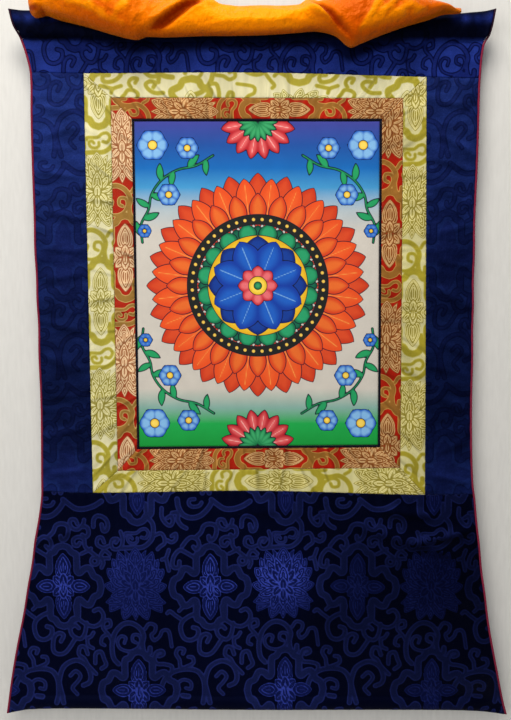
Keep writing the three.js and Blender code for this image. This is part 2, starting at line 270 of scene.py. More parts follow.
# The veil, section by section along the heading: its lowest fold, its highest fold, how far
# it stands out from the cloth and the height at which it is sewn to the front of the rod hem.
VEIL_SECTIONS = table("""
   x  low top out sewn
-301   -9  22  24   -7
-296  -13  27  28   -8
-288  -11  31  32   -7
-282   -9  33  34   -7
-262  -16  36  37  -13
-222  -28  42  42  -18
-189  -38  38  45  -18
-160  -44  26  47  -18
-147  -40  16  42  -18
-124  -40   9  37  -18
 -92  -39  25  37  -18
 -66  -38  14  36  -18
 -45  -38   0  35  -18
   9  -37  -1  35  -18
  57  -34   0  35  -18
  71  -33   7  38  -18
  85  -33   4  39  -18
 108  -39  13  41  -18
 127  -53  27  42  -18
 140  -49  33  42  -18
 168  -38  36  41  -18
 204  -25  22  37  -17
 232  -15   8  31  -13
 254   -6   3  25   -6
 268   -5  -2  15   -5
 278   -4  -3   6   -4
""")
VEIL_PLEATS = table("""
   x low lean rise lip hollow wide
-160 -46   62   44   4     12   25
 124 -53  -46   46   5      9   14
""")
PLEAT_WIDTH = 7
VEIL_SEAM_Y = -12.0

# Creases of the blue cloth seen in the photograph: a line, how proud it stands and its width.
CREASES = table("""
 x1   z1   x2   z2 proud width
168 -690  262 -700   1.5     7
215 -742  318 -716   1.8     7
120 -706  300 -760   1.2     9
246 -160  306 -190   1.0     6
244 -232  306 -262   1.0     7
250 -300  304 -286   0.9     5
246 -372  308 -404   1.1     7
252 -448  306 -470   0.9     6
246 -520  306 -552   1.1     8
250 -610  306 -590   0.9     6
-306 -170 -240 -150  0.8     6
-304 -262 -240 -282  0.9     7
-306 -368 -238 -352  0.8     6
-304 -470 -236 -492  0.9     7
-304 -588 -236 -570  0.8     6
-330 -742 -250 -716  1.2     8
 248 -118  300 -126  0.8     5
 246 -196  304 -214  0.9     5
 250 -336  306 -346  0.9     5
 250 -486  304 -498  0.8     5
 248 -640  306 -652  0.9     5
-308 -124 -244 -132  0.8     5
-306 -214 -242 -222  0.9     5
-302 -318 -240 -326  0.8     5
-306 -420 -240 -436  0.9     5
-302 -530 -240 -524  0.8     5
-304 -640 -238 -632  0.9     5
-60  -700   40 -690  0.8     8
""")


def fine_creases(x, z):
    """The small creases and seam puckers that the solids leave out, in front of the cloth."""
    drift = np.sin(x / 23 + 2.1 * np.sin(z / 47)) * np.sin(z / 31 + 1.7 * np.sin(x / 53))
    return 0.35 * drift - ridges(CREASES, x, z)


def pucker(along, distance, pitch, reach, height):
    """Gathers drawn up along a seam: along runs down the seam, distance is off it."""
    beat = np.sin(2 * np.pi * along / pitch + 2.4 * np.sin(along / 37))
    return height * beat * np.exp(-np.maximum(distance, 0) / reach)


def line(a, b):
    """A straight line between two corners."""
    return lambda t: (lerp(a[0], b[0], t), lerp(a[1], b[1], t))


def across(rows, start, end):
    """A line across the cloth that follows a seam or edge table."""
    return lambda t: (lerp(start, end, t), follow(rows, "x", "z", lerp(start, end, t)))


def sideways(rows, z):
    """How far to step sideways for a step of 1 square to an outline."""
    near = 2
    rise = follow(rows, "z", "x", z + near) - follow(rows, "z", "x", z - near)
    return np.hypot(1, rise / (2 * near))


def down(rows, inward, start, end):
    """A line down the cloth that follows an outline, stepped in by the cord's width."""

    def place(t):
        z = lerp(start, end, t)
        return follow(rows, "z", "x", z) + inward * CORD * sideways(rows, z), z

    return place


def spanned(top, bottom, left, right):
    """The surface spanned by four edges that meet at their corners."""

    def place(u, v):
        def value(i):
            corners = lerp(lerp(top(0)[i], top(1)[i], u), lerp(bottom(0)[i], bottom(1)[i], u), v)
            return lerp(top(u)[i], bottom(u)[i], v) + lerp(left(v)[i], right(v)[i], u) - corners

        return value(0), value(1)

    return place


def roundness(t):
    """A hem's share of its full depth at a height within it."""
    return np.sqrt(np.maximum(0, 1 - (2 * t - 1) ** 2))


def smooth_path(points, steps=4):
    """A smooth path through given points."""
    p = np.array(points, float)
    p = np.vstack([2 * p[0] - p[1], p, 2 * p[-1] - p[-2]])
    t = np.linspace(0, 1, steps, endpoint=False)[:, None]
    runs = []
    for a, b, c, d in zip(p, p[1:], p[2:], p[3:]):
        cubic = (2 * b) + (c - a) * t + (2 * a - 5 * b + 4 * c - d) * t**2
        runs.append((cubic + (3 * b - a - 3 * c + d) * t**3) / 2)
    return np.vstack(runs + [p[-2:-1]])


def distance_to(path, radii, x, z):
    """The signed distance from places to a path of varying half width."""
    best = np.full(np.shape(x), 1e3)
    for (ax, az), (bx, bz), ra, rb in zip(path, path[1:], radii, radii[1:]):
        dx, dz = bx - ax, bz - az
        t = np.clip(((x - ax) * dx + (z - az) * dz) / (dx * dx + dz * dz + 1e-9), 0, 1)
        gap = np.hypot(x - ax - t * dx, z - az - t * dz) - lerp(ra, rb, t)
        best = np.minimum(best, gap)
    return best


# One repeat of the damask, in millimetres round a cross flower. A second cross flower stands
# diagonally off it, and a lotus blossom beside it.
WIDE = 212.0
HIGH = 308.0
CROSSES = [(0, 0), (-104, -154)]
LOTUS = (105, 3)
TILE_PITCH = 0.7  # spacing of the grid that holds the repeat
FAR = 50.0  # the distance where nothing is near
REACH = 12  # distances are worked out this far round a band or a petal
FRAME_BAND = 5.2
# How blunt the petals are: a blunter one is widest further out.
CROSS_BLUNT = 0.62
LOTUS_BLUNT = 0.95
PETAL_POINTS = 13

# Petals: root, direction in degrees, length, width and bend in degrees. Each is mirrored.
CROSS_PETALS = table("""
 x   z  turn long wide bend
14   2    40   18    5  -62
14  -2   -40   18    5   62
 8   0     0   16    9    0
 0  13    90   36   24    0
 0 -13   -90   37   24    0
15   0     0   24   20    0
 0  18    90   25   13    0
 0 -18   -90   26   13    0
18   0     0   16   11    0
 4   4    45   15   12    0
 4  -4   -45   15   12    0
 0   2    90   17   12    0
 0  -2   -90   17   12    0
 0 -10    90   20    7    0
""")
LOTUS_PETALS = table("""
 x   z  turn long wide bend
 0  -6   -90   46   14    0
 2 -12   -64   42   20  -10
 5  -9   -28   46   20  -34
 6  -4   -48   45   17   40
 6   0   -16   40   20   38
 6   4     8   42   20   50
 5   7    30   44   17   42
 4   9    50   47   18   30
 4  12    88   43   10  -32
 0  10    90   46   22    0
 3  -6   -60   33   13  -14
 5  -4   -36   34   14   34
 5   1    -2   33   15   40
 4   3    24   35   15   34
 3   4    50   37   14   18
 2   6    80   34   11  -14
 0  -4   -90   30   12    0
 3  -2   -50   18   10    0
 3   0    16   20   10   10
 2   2    50   24   11   10
 0  -8    90   36   15    0
 0  -9    90   18   10    0
 0  -6   -90   18    9    0
""")
# The lobed band round each cross flower, one quarter of it.
LOBED_FRAME = [
    (0, 60), (8, 57), (13, 50), (19, 47), (20, 36), (20, 23), (24, 20),
    (31, 26), (38, 27), (42, 20), (45, 15), (52, 11), (55, 0),
]
# The cloud scrolls between the flowers: half the band's width, and its course.
SCROLLS = [
    (3.3, [(-40, 60), (-33, 69), (-26, 73), (-18, 69), (-16, 61), (-20, 55), (-24, 59)]),
    (3.5, [(-20, 73), (-13, 80), (-9, 89), (-1, 92), (8, 89), (9, 79), (5, 70), (-1, 69), (-2, 74)]),
    (3.3, [(-44, 38), (-45, 30), (-51, 29), (-54, 34), (-52, 45), (-46, 53), (-40, 54), (-22, 43)]),
    (3.0, [(-69, 41), (-63, 44), (-59, 55)]),
    (3.0, [(-59, 25), (-61, 34), (-63, 43)]),
    (3.2, [(25, 64), (22, 60), (17, 61), (16, 69), (23, 73), (31, 70), (32, 61), (36, 55), (51, 43)]),
    (3.0, [(27, 48), (35, 52), (41, 56)]),
    (3.0, [(49, 42), (43, 42), (41, 36), (46, 32), (51, 35), (52, 41), (59, 42), (67, 42)]),
    (3.0, [(56, 28), (59, 36), (55, 46), (61, 53), (68, 48)]),
    (4.0, [(-47, 128), (-45, 116), (-38, 105), (-26, 101), (-14, 104), (-4, 113), (2, 122)]),
    (3.0, [(-12, 123), (-16, 118), (-25, 117), (-30, 121), (-29, 127), (-22, 128)]),
    (4.0, [(2, 127), (11, 120), (21, 114), (33, 114), (46, 118), (57, 125)]),
    (3.2, [(-69, 115), (-69, 103), (-64, 94), (-57, 90), (-53, 96), (-55, 104), (-61, 101)]),
    (3.4, [(-54, 108), (-46, 108), (-46, 98), (-41, 90), (-34, 86)]),
    (3.0, [(-79, 76), (-71, 79), (-66, 74), (-65, 65), (-71, 60), (-75, 56)]),
    (3.0, [(-61, 69), (-55, 66), (-49, 70), (-49, 78), (-55, 75)]),
    (3.0, [(60, 65), (57, 72), (51, 71), (50, 62), (59, 57), (67, 60)]),
    (3.0, [(77, 65), (80, 70), (73, 70), (70, 63), (73, 56), (81, 56), (86, 62), (87, 71), (84, 81)]),
    (3.6, [(120, 121), (122, 104), (130, 93), (131, 80), (128, 69), (116, 59), (100, 58), (84, 57)]),
    (2.6, [(91, 76), (92, 79), (106, 79), (113, 84), (120, 85), (124, 79), (120, 72), (114, 73)]),
    (2.4, [(101, 71), (98, 74), (94, 72), (96, 66), (103, 64), (108, 67), (108, 72)]),
    (3.4, [(45, 88), (46, 99), (52, 104), (62, 100), (66, 91), (64, 83), (59, 82), (57, 91)]),
    (3.2, [(22, 92), (19, 98), (13, 98), (11, 93), (15, 86), (23, 84), (30, 91), (32, 98)]),
    (3.4, [(29, 88), (36, 87), (38, 78), (34, 73), (29, 76)]),
    (3.3, [(16, -29), (19, -45), (29, -54), (43, -59), (54, -53), (58, -42), (52, -33), (44, -36)]),
    (3.5, [(-17, -29), (-20, -38), (-32, -44), (-41, -52), (-43, -63), (-38, -76), (-28, -79),
           (-19, -73), (-18, -63), (-25, -60)]),
    (3.0, [(-62, -38), (-58, -35), (-51, -41), (-43, -47)]),
    (3.0, [(-45, -35), (-34, -25), (-23, -23)]),
    (3.3, [(33, -54), (30, -70), (23, -78), (12, -73), (9, -63), (16, -58), (21, -62)]),
    (3.3, [(-5, -82), (-1, -73), (-8, -70), (-15, -77), (-16, -95), (-8, -101), (3, -97), (16, -78)]),
    (3.0, [(43, -68), (39, -74), (34, -77), (35, -87), (42, -91)]),
    (3.2, [(34, -100), (30, -90), (23, -90), (21, -101), (29, -107), (34, -116), (46, -129)]),
    (3.2, [(45, -113), (46, -99), (54, -96), (58, -106), (61, -115), (54, -121)]),
    (3.8, [(79, -113), (72, -104), (70, -86), (74, -68), (85, -55), (97, -52), (109, -58),
           (116, -70), (114, -83), (117, -97), (124, -97), (125, -89)]),
    (2.6, [(88, -82), (90, -74), (83, -72), (78, -80), (82, -90), (95, -94), (107, -89),
           (112, -78), (109, -70), (101, -70), (100, -78), (105, -81)]),
    (2.8, [(62, -60), (68, -57), (67, -49), (59, -51), (57, -61), (65, -70), (70, -80)]),
    (2.8, [(63, -70), (56, -74), (54, -83), (59, -86)]),
    (2.8, [(118, -61), (124, -53), (133, -56), (132, -65), (127, -70), (131, -78), (139, -72),
           (143, -64), (152, -65), (156, -88)]),
    (3.2, [(138, -102), (144, -99), (142, -94), (134, -96), (131, -106), (135, -113), (145, -114),
           (156, -118), (154, -129), (149, -131)]),
    (3.0, [(172, -99), (174, -93), (166, -91), (162, -99), (167, -108), (169, -120), (178, -118),
           (187, -113), (186, -105), (180, -104)]),
    (3.8, [(-72, -151), (-67, -138), (-54, -126), (-34, -122), (-18, -126), (-10, -140), (-9, -158),
           (-11, -171)]),
    (3.8, [(-1, -171), (-6, -153), (-8, -140), (-3, -122), (7, -113), (19, -110), (32, -117),
           (38, -131), (36, -142), (27, -147)]),
    (2.8, [(-46, -153), (-47, -143), (-39, -138), (-29, -142), (-29, -152), (-36, -151)]),
    (3.5, [(-41, -162), (-32, -163)]),
    (3.0, [(8, -133), (16, -126), (23, -133), (18, -142), (11, -151), (18, -160)]),
]


class Repeat:
    """Distance fields of one repeat on a fine grid that wraps round."""

    def __init__(self):
        self.columns = round(WIDE / TILE_PITCH)
        self.rows = round(HIGH / TILE_PITCH)
        shape = (self.rows, self.columns)
        self.fields = {name: np.full(shape, FAR) for name in ("band", "bloom", "vein")}

    def window(self, path):
        """The grid cells round a path, and their places."""
        low, high = path.min(0) - REACH, path.max(0) + REACH
        i = np.arange(math.floor(low[0] / TILE_PITCH), math.ceil(high[0] / TILE_PITCH))
        j = np.arange(math.floor(low[1] / TILE_PITCH), math.ceil(high[1] / TILE_PITCH))
        x, z = np.meshgrid(i * TILE_PITCH, j * TILE_PITCH)
        return np.ix_(j % self.rows, i % self.columns), x, z

    def stroke(self, path, half_width):
        cells, x, z = self.window(path)
        gap = distance_to(path, [half_width] * len(path), x, z)
        self.fields["band"][cells] = np.minimum(self.fields["band"][cells], gap)

    def petal(self, path, radii):
        """A petal lies over the earlier ones, with its outline and midrib as veins."""
        cells, x, z = self.window(path)
        gap = distance_to(path, radii, x, z)
        spine = path[2:-4]
        rib = distance_to(spine, [0] * len(spine), x, z)
        edge = np.minimum(np.abs(gap), rib)
        before = self.fields["vein"][cells]
        veined = np.where(gap < 0, edge, np.minimum(before, np.abs(gap)))
        self.fields["vein"][cells] = veined
        self.fields["bloom"][cells] = np.minimum(self.fields["bloom"][cells], gap)

    def at(self, x, z):
        """The fields at places on the cloth, between the nearest grid cells."""
        i, j = x / TILE_PITCH, z / TILE_PITCH
        i0, j0 = np.floor(i).astype(int), np.floor(j).astype(int)
        fi, fj = i - i0, j - j0
        i0, j0 = i0 % self.columns, j0 % self.rows
        i1, j1 = (i0 + 1) % self.columns, (j0 + 1) % self.rows
        found = {}
        for name, field in self.fields.items():
            upper = lerp(field[j0, i0], field[j0, i1], fi)
            lower = lerp(field[j1, i0], field[j1, i1], fi)
            found[name] = lerp(upper, lower, fj)
        return found


def petal_path(x, z, turn, long, wide, bend, blunt):
    """A petal's spine and its half width along it."""
    t = np.linspace(0, 1, PETAL_POINTS)
    heading = np.radians(turn + bend * t)
    step = long / (PETAL_POINTS - 1)
    xs = x + np.concatenate([[0], np.cumsum(np.cos(heading[:-1]))]) * step
    zs = z + np.concatenate([[0], np.cumsum(np.sin(heading[:-1]))]) * step
    return np.column_stack([xs, zs]), wide / 2 * np.sin(np.pi * t**blunt) ** 0.9


def make_repeat():
    repeat = Repeat()
    frame_path = smooth_path(LOBED_FRAME)
    for middle in CROSSES:
        for flip in ((1, 1), (-1, 1), (1, -1), (-1, -1)):
            repeat.stroke(frame_path * flip + middle, FRAME_BAND)
    for half_width, points in SCROLLS:
        repeat.stroke(smooth_path(points), half_width)
    for row in each(CROSS_PETALS):
        path, radii = petal_path(*row, CROSS_BLUNT)
        for middle in CROSSES:
            repeat.petal(path + middle, radii)
            repeat.petal(path * (-1, 1) + middle, radii)
    for row in each(LOTUS_PETALS):
        path, radii = petal_path(*row, LOTUS_BLUNT)
        repeat.petal(path + LOTUS, radii)
        repeat.petal(path * (-1, 1) + LOTUS, radii)
    return repeat


DAMASK = make_repeat()


def make_object(name, points, quads, back, back_faces, attributes, materials):
    """A closed sheet: a fine front of quads, and a rim and coarse back in a second material."""
    mesh = bpy.data.meshes.new(name)
    verts = np.vstack([points, back]) * MM
    mesh.from_pydata(verts.tolist(), [], quads + back_faces)
    for key, values in attributes.items():
        full = np.zeros(len(verts))
        full[: len(values)] = values
        mesh.attributes.new(key, "FLOAT", "POINT").data.foreach_set("value", full)
    for material in materials:
        mesh.materials.append(material)
    kinds = np.concatenate([np.zeros(len(quads), int), np.ones(len(back_faces), int)])
    mesh.polygons.foreach_set("material_index", np.minimum(kinds, len(materials) - 1))
    mesh.polygons.foreach_set("use_smooth", [True] * len(mesh.polygons))
    mesh.validate()
    obj = bpy.data.objects.new(name, mesh)
    bpy.context.scene.collection.objects.link(obj)
    return obj


def grid_faces(columns, rows, step):
    """Quads of the front, then the rim and the back, whose inner grid is coarser."""
    index = np.arange((rows + 1) * (columns + 1)).reshape(rows + 1, columns + 1)
    a, b, c, d = index[:-1, :-1], index[1:, :-1], index[1:, 1:], index[:-1, 1:]
    front = np.stack([a, b, c, d], -1).reshape(-1, 4).tolist()
    loop = np.concatenate([index[0, :-1], index[:-1, -1], index[-1, :0:-1], index[:0:-1, 0]])
    keep = np.zeros_like(index, bool)
    keep[::step, ::step] = True
    keep[[0, -1], :] = True
    keep[:, [0, -1]] = True
    kept = index[keep]
    behind = np.full(index.size, -1)
    behind[kept] = index.size + np.arange(len(kept))
    after = np.roll(loop, -1)
    rim = np.column_stack([loop, after, behind[after], behind[loop]]).tolist()
    faces = []
    for j in range(0, rows, step):
        for i in range(0, columns, step):
            top = range(i, i + step) if j == 0 else (i,)
            right = range(j, j + step) if i + step == columns else (j,)
            foot = range(i + step, i, -1) if j + step == rows else (i + step,)
            left = range(j + step, j, -1) if i == 0 else (j + step,)
            ring = [index[j, k] for k in top] + [index[k, i + step] for k in right]
            ring += [index[j + step, k] for k in foot] + [index[k, i] for k in left]
            faces.append([int(behind[k]) for k in ring])
    return front, rim + faces, kept


def cells(length, spacing):
    """A whole number of coarse cells' worth of fine cells."""
    return BACK_STEP * max(1, round(length / spacing / BACK_STEP))


def grid(columns, rows):
    """Shares of the way across and down at every point of a grid."""
    return np.meshgrid(np.linspace(0, 1, columns + 1), np.linspace(0, 1, rows + 1))


def closed_sheet(name, x, z, front, behind, fields, materials):
    """A sheet between its front and back depths at every point of a grid."""
    rows, columns = x.shape[0] - 1, x.shape[1] - 1
    quads, back_faces, kept = grid_faces(columns, rows, BACK_STEP)
    points = np.stack([x, front, z], -1).reshape(-1, 3)
    back = np.stack([x, behind, z], -1).reshape(-1, 3)[kept]
    flat = {key: value.ravel() for key, value in fields.items()}
    return make_object(name, points, quads, back, back_faces, flat, materials)


def hung(name, place, size, spacing, thickness, shape, pattern, materials):
    """A piece of cloth that hangs in the plane of the scroll."""
    wide, high = size
    u, v = grid(cells(wide, spacing), cells(high, spacing))
    gap_u, gap_v = SEAM_INSET / wide, SEAM_INSET / high
    x, z = place(gap_u + u * (1 - 2 * gap_u), gap_v + v * (1 - 2 * gap_v))
    edge = np.minimum(np.minimum(u, 1 - u) * wide, np.minimum(v, 1 - v) * high)
    middle = relief(x, z) + fine_creases(x, z) * smooth(edge, -4, 14)
    front_bulge, back_bulge = shape(x, z, u, v)
    fields = pattern(x, z, u, v)
    turned = SEAM_TURN * np.exp(-edge / SEAM_TURN_REACH)
    raised = fields.pop("raised", 0)
    front = middle - thickness / 2 - front_bulge + turned - raised
    behind = middle + thickness / 2 + back_bulge
    return closed_sheet(name, x, z, front, behind, fields, materials)


def woven(scale, shift, glow, crosswise=False):
    """The damask's fields on a piece of cloth, which may be cut across the repeat."""

    def pattern(x, z, u, v):
        px, pz = (z, x) if crosswise else (x, z)
        fields = DAMASK.at((px - shift[0]) / scale, (pz - shift[1]) / scale)
        band = smooth(-fields["band"], -0.6, 0.9)
        bloom = smooth(-fields["bloom"], -0.5, 0.8)
        groove = 1 - smooth(fields["vein"], 0.2, 1.2)
        fields["raised"] = BAND_RISE * band + BLOOM_RISE * bloom * (1 - 0.8 * groove)
        # Painted light and shade: a level that the cloth's colour is multiplied by.
        fields["glow"] = glow(x, z, u, v)
        return fields

    return pattern


# How brightly the satin is painted to gleam down its left and right sides, as it turns from the light.
GLEAM = table("""
   z left right
   0 0.88  0.80
 -95 0.88  0.72
-207 0.82  0.55
-264 0.74  0.55
-320 0.60  0.36
-377 0.48  0.26
-433 0.35  0.34
-490 0.31  0.24
-547 0.30  0.24
-603 0.37  0.34
-662 0.76  0.50
-716 0.88  0.42
-773 1.12  0.36
-830 0.96  0.40
-886 1.00  0.50
-943 0.94  0.56
-994 0.90  0.60
""")
# Places on the foot painted to gleam more (or less) than the cloth round them.
GLEAM_SPOTS = table("""
   x    z wide  more
-276 -798   38  0.70
 -65 -802   44  0.75
  46 -795   46  0.95
-176 -955   46  0.55
  40 -955   50  0.70
-171 -797   42 -0.18
 150 -797   60 -0.25
 265 -800   70 -0.40
 -95 -676   60  0.60
 -40 -690   70  0.30
 120 -860   50 -0.30
 300 -900   60 -0.10
""")
CREASE_SHINE = 0.5


def gleam(x, z, u, v):
    """The satin's painted gleam over the sides and the foot, with painted light and shade at its creases.
    """
    left, right = (follow(GLEAM, "z", key, z) for key in ("left", "right"))
    level = lerp(left, right, smooth(x, -150, 330))
    for px, pz, wide, more in each(GLEAM_SPOTS):
        level = level * (1 + more * np.exp(-((x - px) ** 2 + (z - pz) ** 2) / wide**2))
    for x1, z1, x2, z2, proud, width in each(CREASES):
        ends = (x1, z1), (x2, z2), width
        slope = ridge(x, z - width / 2, *ends) - ridge(x, z + width / 2, *ends)
        level = level * (1 + CREASE_SHINE * proud * slope)
    return level


def heading_gleam(x, z, u, v):
    """Deep painted shade under the veil and on the rod hem, whose ends catch a little painted light."""
    veil_ends = VEIL_SECTIONS["x"][[0, -1]]
    veil_low = follow(VEIL_SECTIONS, "x", "low", np.clip(x, *veil_ends))
    below_veil = smooth(veil_low - 4 - z, 0, 16)
    beyond_veil = smooth(np.abs(x), 262, 300)
    panel = lerp(0.12, 1.0, np.maximum(below_veil, 0.8 * beyond_veil))
    panel = panel * (1 + 0.25 * np.sin(x / 44) * np.sin(x / 17 + 1.2))
    panel = panel * lerp(1.18, 0.93, smooth(np.abs(x), 60, 240))
    shine = np.exp(-(((z + 9) / 6) ** 2)) * smooth(np.abs(x), 258, 292)
    hem = 0.025 + 0.8 * shine * (0.6 + 0.4 * np.sin(x / 3.7) * np.sin(x / 9.1 + 1))
    return lerp(panel, hem, 1 - smooth(-z, 33, 40))


WAVES_PER_METRE = 3.18  # in a wave texture of scale 1


class Shader:
    """A material's nodes, made one after another."""

    def __init__(self, name):
        self.material = bpy.data.materials.new(name)
        self.material.use_nodes = True
        self.tree = self.material.node_tree
        self.bsdf = self.tree.nodes["Principled BSDF"]

    def node(self, kind, inputs=(), **settings):
        node = self.tree.nodes.new(kind)
        for key, value in settings.items():
            setattr(node, key, value)
        for key, value in dict(inputs).items():
            self.give(node.inputs[key], value)
        return node

    def give(self, socket, value):
        if isinstance(value, bpy.types.NodeSocket):
            self.tree.links.new(value, socket)
        elif socket.type == "RGBA" and len(value) == 3:
            socket.default_value = (*value, 1)
        else:
            socket.default_value = value

    def field(self, name):
        return self.node("ShaderNodeAttribute", attribute_name=name).outputs["Fac"]

    def below(self, value, limit, soft):
        """1 where a value is under a limit, with a soft edge."""
        inputs = {"Value": value, "From Min": limit + soft, "From Max": limit - soft}
        node = self.node("ShaderNodeMapRange", inputs, interpolation_type="SMOOTHSTEP")
        return node.outputs["Result"]

    def math(self, operation, a, b=0.0):
        return self.node("ShaderNodeMath", {0: a, 1: b}, operation=operation).outputs[0]

    def mix(self, factor, a, b, blend="MIX"):
        """A colour between a and b. The mix node's colour sockets are only told by number."""
        node = self.node("ShaderNodeMix", data_type="RGBA", blend_type=blend)
        self.give(node.inputs[0], factor)
        self.give(node.inputs[6], a)
        self.give(node.inputs[7], b)
        return node.outputs[2]

    def tinted(self, colour, factor, dark, light):
        """A colour multiplied by one between dark and light."""
        return self.mix(1.0, colour, self.mix(factor, dark, light), "MULTIPLY")

    def dimmed(self, colour, level):
        return self.tinted(colour, level, (0, 0, 0), (1, 1, 1))

    def mottled(self, colour):
        return self.tinted(colour, self.noise(140.0), (0.8, 0.8, 0.8), (1.18, 1.18, 1.18))

    def place(self):
        return self.node("ShaderNodeTexCoord").outputs["Object"]

    def noise(self, scale, detail=3.0, stretch=(1, 1, 1)):
        at = self.node("ShaderNodeMapping", {"Vector": self.place(), "Scale": stretch})
        inputs = {"Vector": at.outputs[0], "Scale": scale, "Detail": detail}
        return self.node("ShaderNodeTexNoise", inputs).outputs["Fac"]

    def figure(self, pitch, width, start=0.0):
        """Fine woven lines that follow the outlines and ribs of the petals."""
        turns = self.math("ADD", self.math("DIVIDE", self.field("vein"), pitch), start)
        return self.below(self.math("FRACT", turns), width, 0.2)

    def weave(self, pitch, strength, distance, crumple=0.0):
        """The bump of crossing threads, pitch metres apart, on softly crumpled cloth."""
        heights = []
        for axis in ("X", "Z"):
            scale = 1 / (pitch * WAVES_PER_METRE)
            inputs = {"Vector": self.place(), "Scale": scale, "Distortion": 0.4}
            wave = self.node("ShaderNodeTexWave", inputs, bands_direction=axis)
            heights.append(wave.outputs["Fac"])
        height = self.math("MULTIPLY", *heights)
        inputs = {"Strength": strength, "Distance": distance, "Height": height}
        if crumple:
            folds = {"Strength": 1.0, "Distance": crumple, "Height": self.noise(95.0, 3.0)}
            inputs["Normal"] = self.node("ShaderNodeBump", folds).outputs[0]
        self.give(self.bsdf.inputs["Normal"], self.node("ShaderNodeBump", inputs).outputs[0])

    def finish(self, colour, roughness, **constants):
        self.give(self.bsdf.inputs["Base Color"], colour)
        self.give(self.bsdf.inputs["Roughness"], roughness)
        for key, value in constants.items():
            self.give(self.bsdf.inputs[key.replace("_", " ")], value)
        return self.material


def damask(name, ground, band, rim, bloom, vein, crumple=0.2, folds=0.0):
    """Blue satin with scrolls woven into it. rim is the colour along a band's edges, and
    crumple and folds say how uneven the satin's painted sheen is and how deep its creases are."""
    s = Shader(name)
    glow = s.field("glow")
    in_band = s.below(s.field("band"), 0.0, 0.5)
    on_rim = s.math("SUBTRACT", in_band, s.below(s.field("band"), -1.6, 0.7))
    in_bloom = s.below(s.field("bloom"), 0.0, 0.5)
    on_vein = s.math("MULTIPLY", s.figure(2.4, 0.3), in_bloom)
    # The veins are woven lines with painted highlights on them, brighter where the painted light is
    # strong.
    lit = s.math("ADD", s.math("MULTIPLY", s.below(glow, 1.25, -0.35), 0.72), 0.28)
    on_vein = s.math("MULTIPLY", on_vein, lit)
    colour = s.mix(in_band, ground, band)
    colour = s.mix(on_rim, colour, rim)
    colour = s.mix(in_bloom, colour, bloom)
    colour = s.mix(on_vein, colour, vein)
    # Painted light and shade: the colour is multiplied by the cloth's painted light level.
    colour = s.dimmed(colour, glow)
    streak = s.noise(60.0, 3.0, (1, 1, 0.12))
    colour = s.tinted(colour, streak, (0.78, 0.8, 0.82), (1.22, 1.2, 1.18))
    colour = s.tinted(colour, s.noise(9.0, 2.0), (0.7, 0.72, 0.74), (1.3, 1.28, 1.26))
    threads = s.noise(720.0, 2.0)
    colour = s.tinted(colour, threads, (0.5, 0.52, 0.55), (1.5, 1.48, 1.45))
    # Painted sheen: the creased satin is painted to shine unevenly.
    creased = s.noise(44.0, 4.0, (0.5, 1, 1.2))
    colour = s.tinted(colour, creased, (1 - crumple,) * 3, (1 + crumple,) * 3)
    s.weave(0.0011, 0.25, 0.0002, folds)
    tint = (0.25, 0.32, 1.0)
    return s.finish(colour, 0.5, Specular_IOR_Level=0.05, Specular_Tint=tint)


def brocade(name, ground, band, edge, bloom, vein, glint, rougher, constants):
    """Satin with bands in metal thread and finely figured blossoms. rougher is how much more
    roughly these shine than the ground."""
    s = Shader(name)
    in_band = s.below(s.field("band"), 0.0, 0.35)
    on_edge = s.math("SUBTRACT", in_band, s.below(s.field("band"), -0.9, 0.35))
    in_bloom = s.below(s.field("bloom"), 0.0, 0.35)
    on_vein = s.math("MULTIPLY", s.figure(2.3, 0.27), in_bloom)
    colour = s.mix(in_band, ground, band)
    colour = s.mix(on_edge, colour, edge)
    colour = s.mix(in_bloom, colour, bloom)
    colour = s.mix(on_vein, colour, vein)
    # Bright lines between the veins: the blossoms' pale metal thread with a painted highlight on it.
    colour = s.mix(s.math("MULTIPLY", s.figure(2.3, 0.3, 0.55), in_bloom), colour, glint)
    streak = s.noise(90.0, 3.0, (1, 1, 0.2))
    colour = s.tinted(colour, streak, (0.74, 0.74, 0.72), (1.24, 1.24, 1.26))
    # Painted light and shade: the colour is multiplied by the strip's painted light level.
    colour = s.dimmed(colour, s.field("glow"))
    figured = s.math("MAXIMUM", in_band, in_bloom)
    roughness = s.math("ADD", s.math("MULTIPLY", figured, rougher), 0.34)
    s.weave(0.0008, 0.3, 0.00015)
    return s.finish(colour, roughness, **constants)


def plain_cloth(name, colour, roughness, pitch=0.0012, **constants):
    """Plain weave or a cloth's plain reverse."""
    s = Shader(name)
    s.weave(pitch, 0.3, 0.0002)
    return s.finish(s.mottled(colour), roughness, **constants)


def piping_cloth():
    """Crimson cloth with painted shade, darkening towards the hem it runs into."""
    s = Shader("crimson piping")
    colour = s.mix(s.field("hem"), (0.19, 0.012, 0.035), (0.022, 0.004, 0.014))
    s.weave(0.0012, 0.3, 0.0002)
    return s.finish(s.mottled(colour), 0.8, Specular_IOR_Level=0.1)


def silk():
    """Orange satin silk, with painted shade that is redder where light only reaches it through the silk.
    """
    s = Shader("orange silk")
    colour = s.mix(s.field("lit"), (0.48, 0.056, 0.0004), (1.0, 0.27, 0.0008))
    streak = s.noise(70.0, 4.0, (0.35, 1, 1))
    colour = s.tinted(colour, streak, (0.9, 0.72, 0.7), (1.16, 1.3, 1.35))
    colour = s.tinted(colour, s.noise(11.0, 2.0), (0.92, 0.78, 0.74), (1.16, 1.26, 1.3))
    colour = s.mix(s.field("painted_crest_highlight"), colour, (1.0, 0.31, 0.001))
    colour = s.mix(s.field("shade"), colour, (0.4, 0.055, 0.001))
    colour = s.mix(s.field("hollow"), colour, (0.26, 0.01, 0.0005))
    s.weave(0.0009, 0.2, 0.00015, 0.004)
    gloss = {"Specular_IOR_Level": 0.45, "Specular_Tint": (1.0, 0.33, 0.002)}
    sheen = {"Sheen_Weight": 0.5, "Sheen_Roughness": 0.6, "Sheen_Tint": (1.0, 0.31, 0.001)}
    return s.finish(colour, 0.42, **gloss, **sheen)


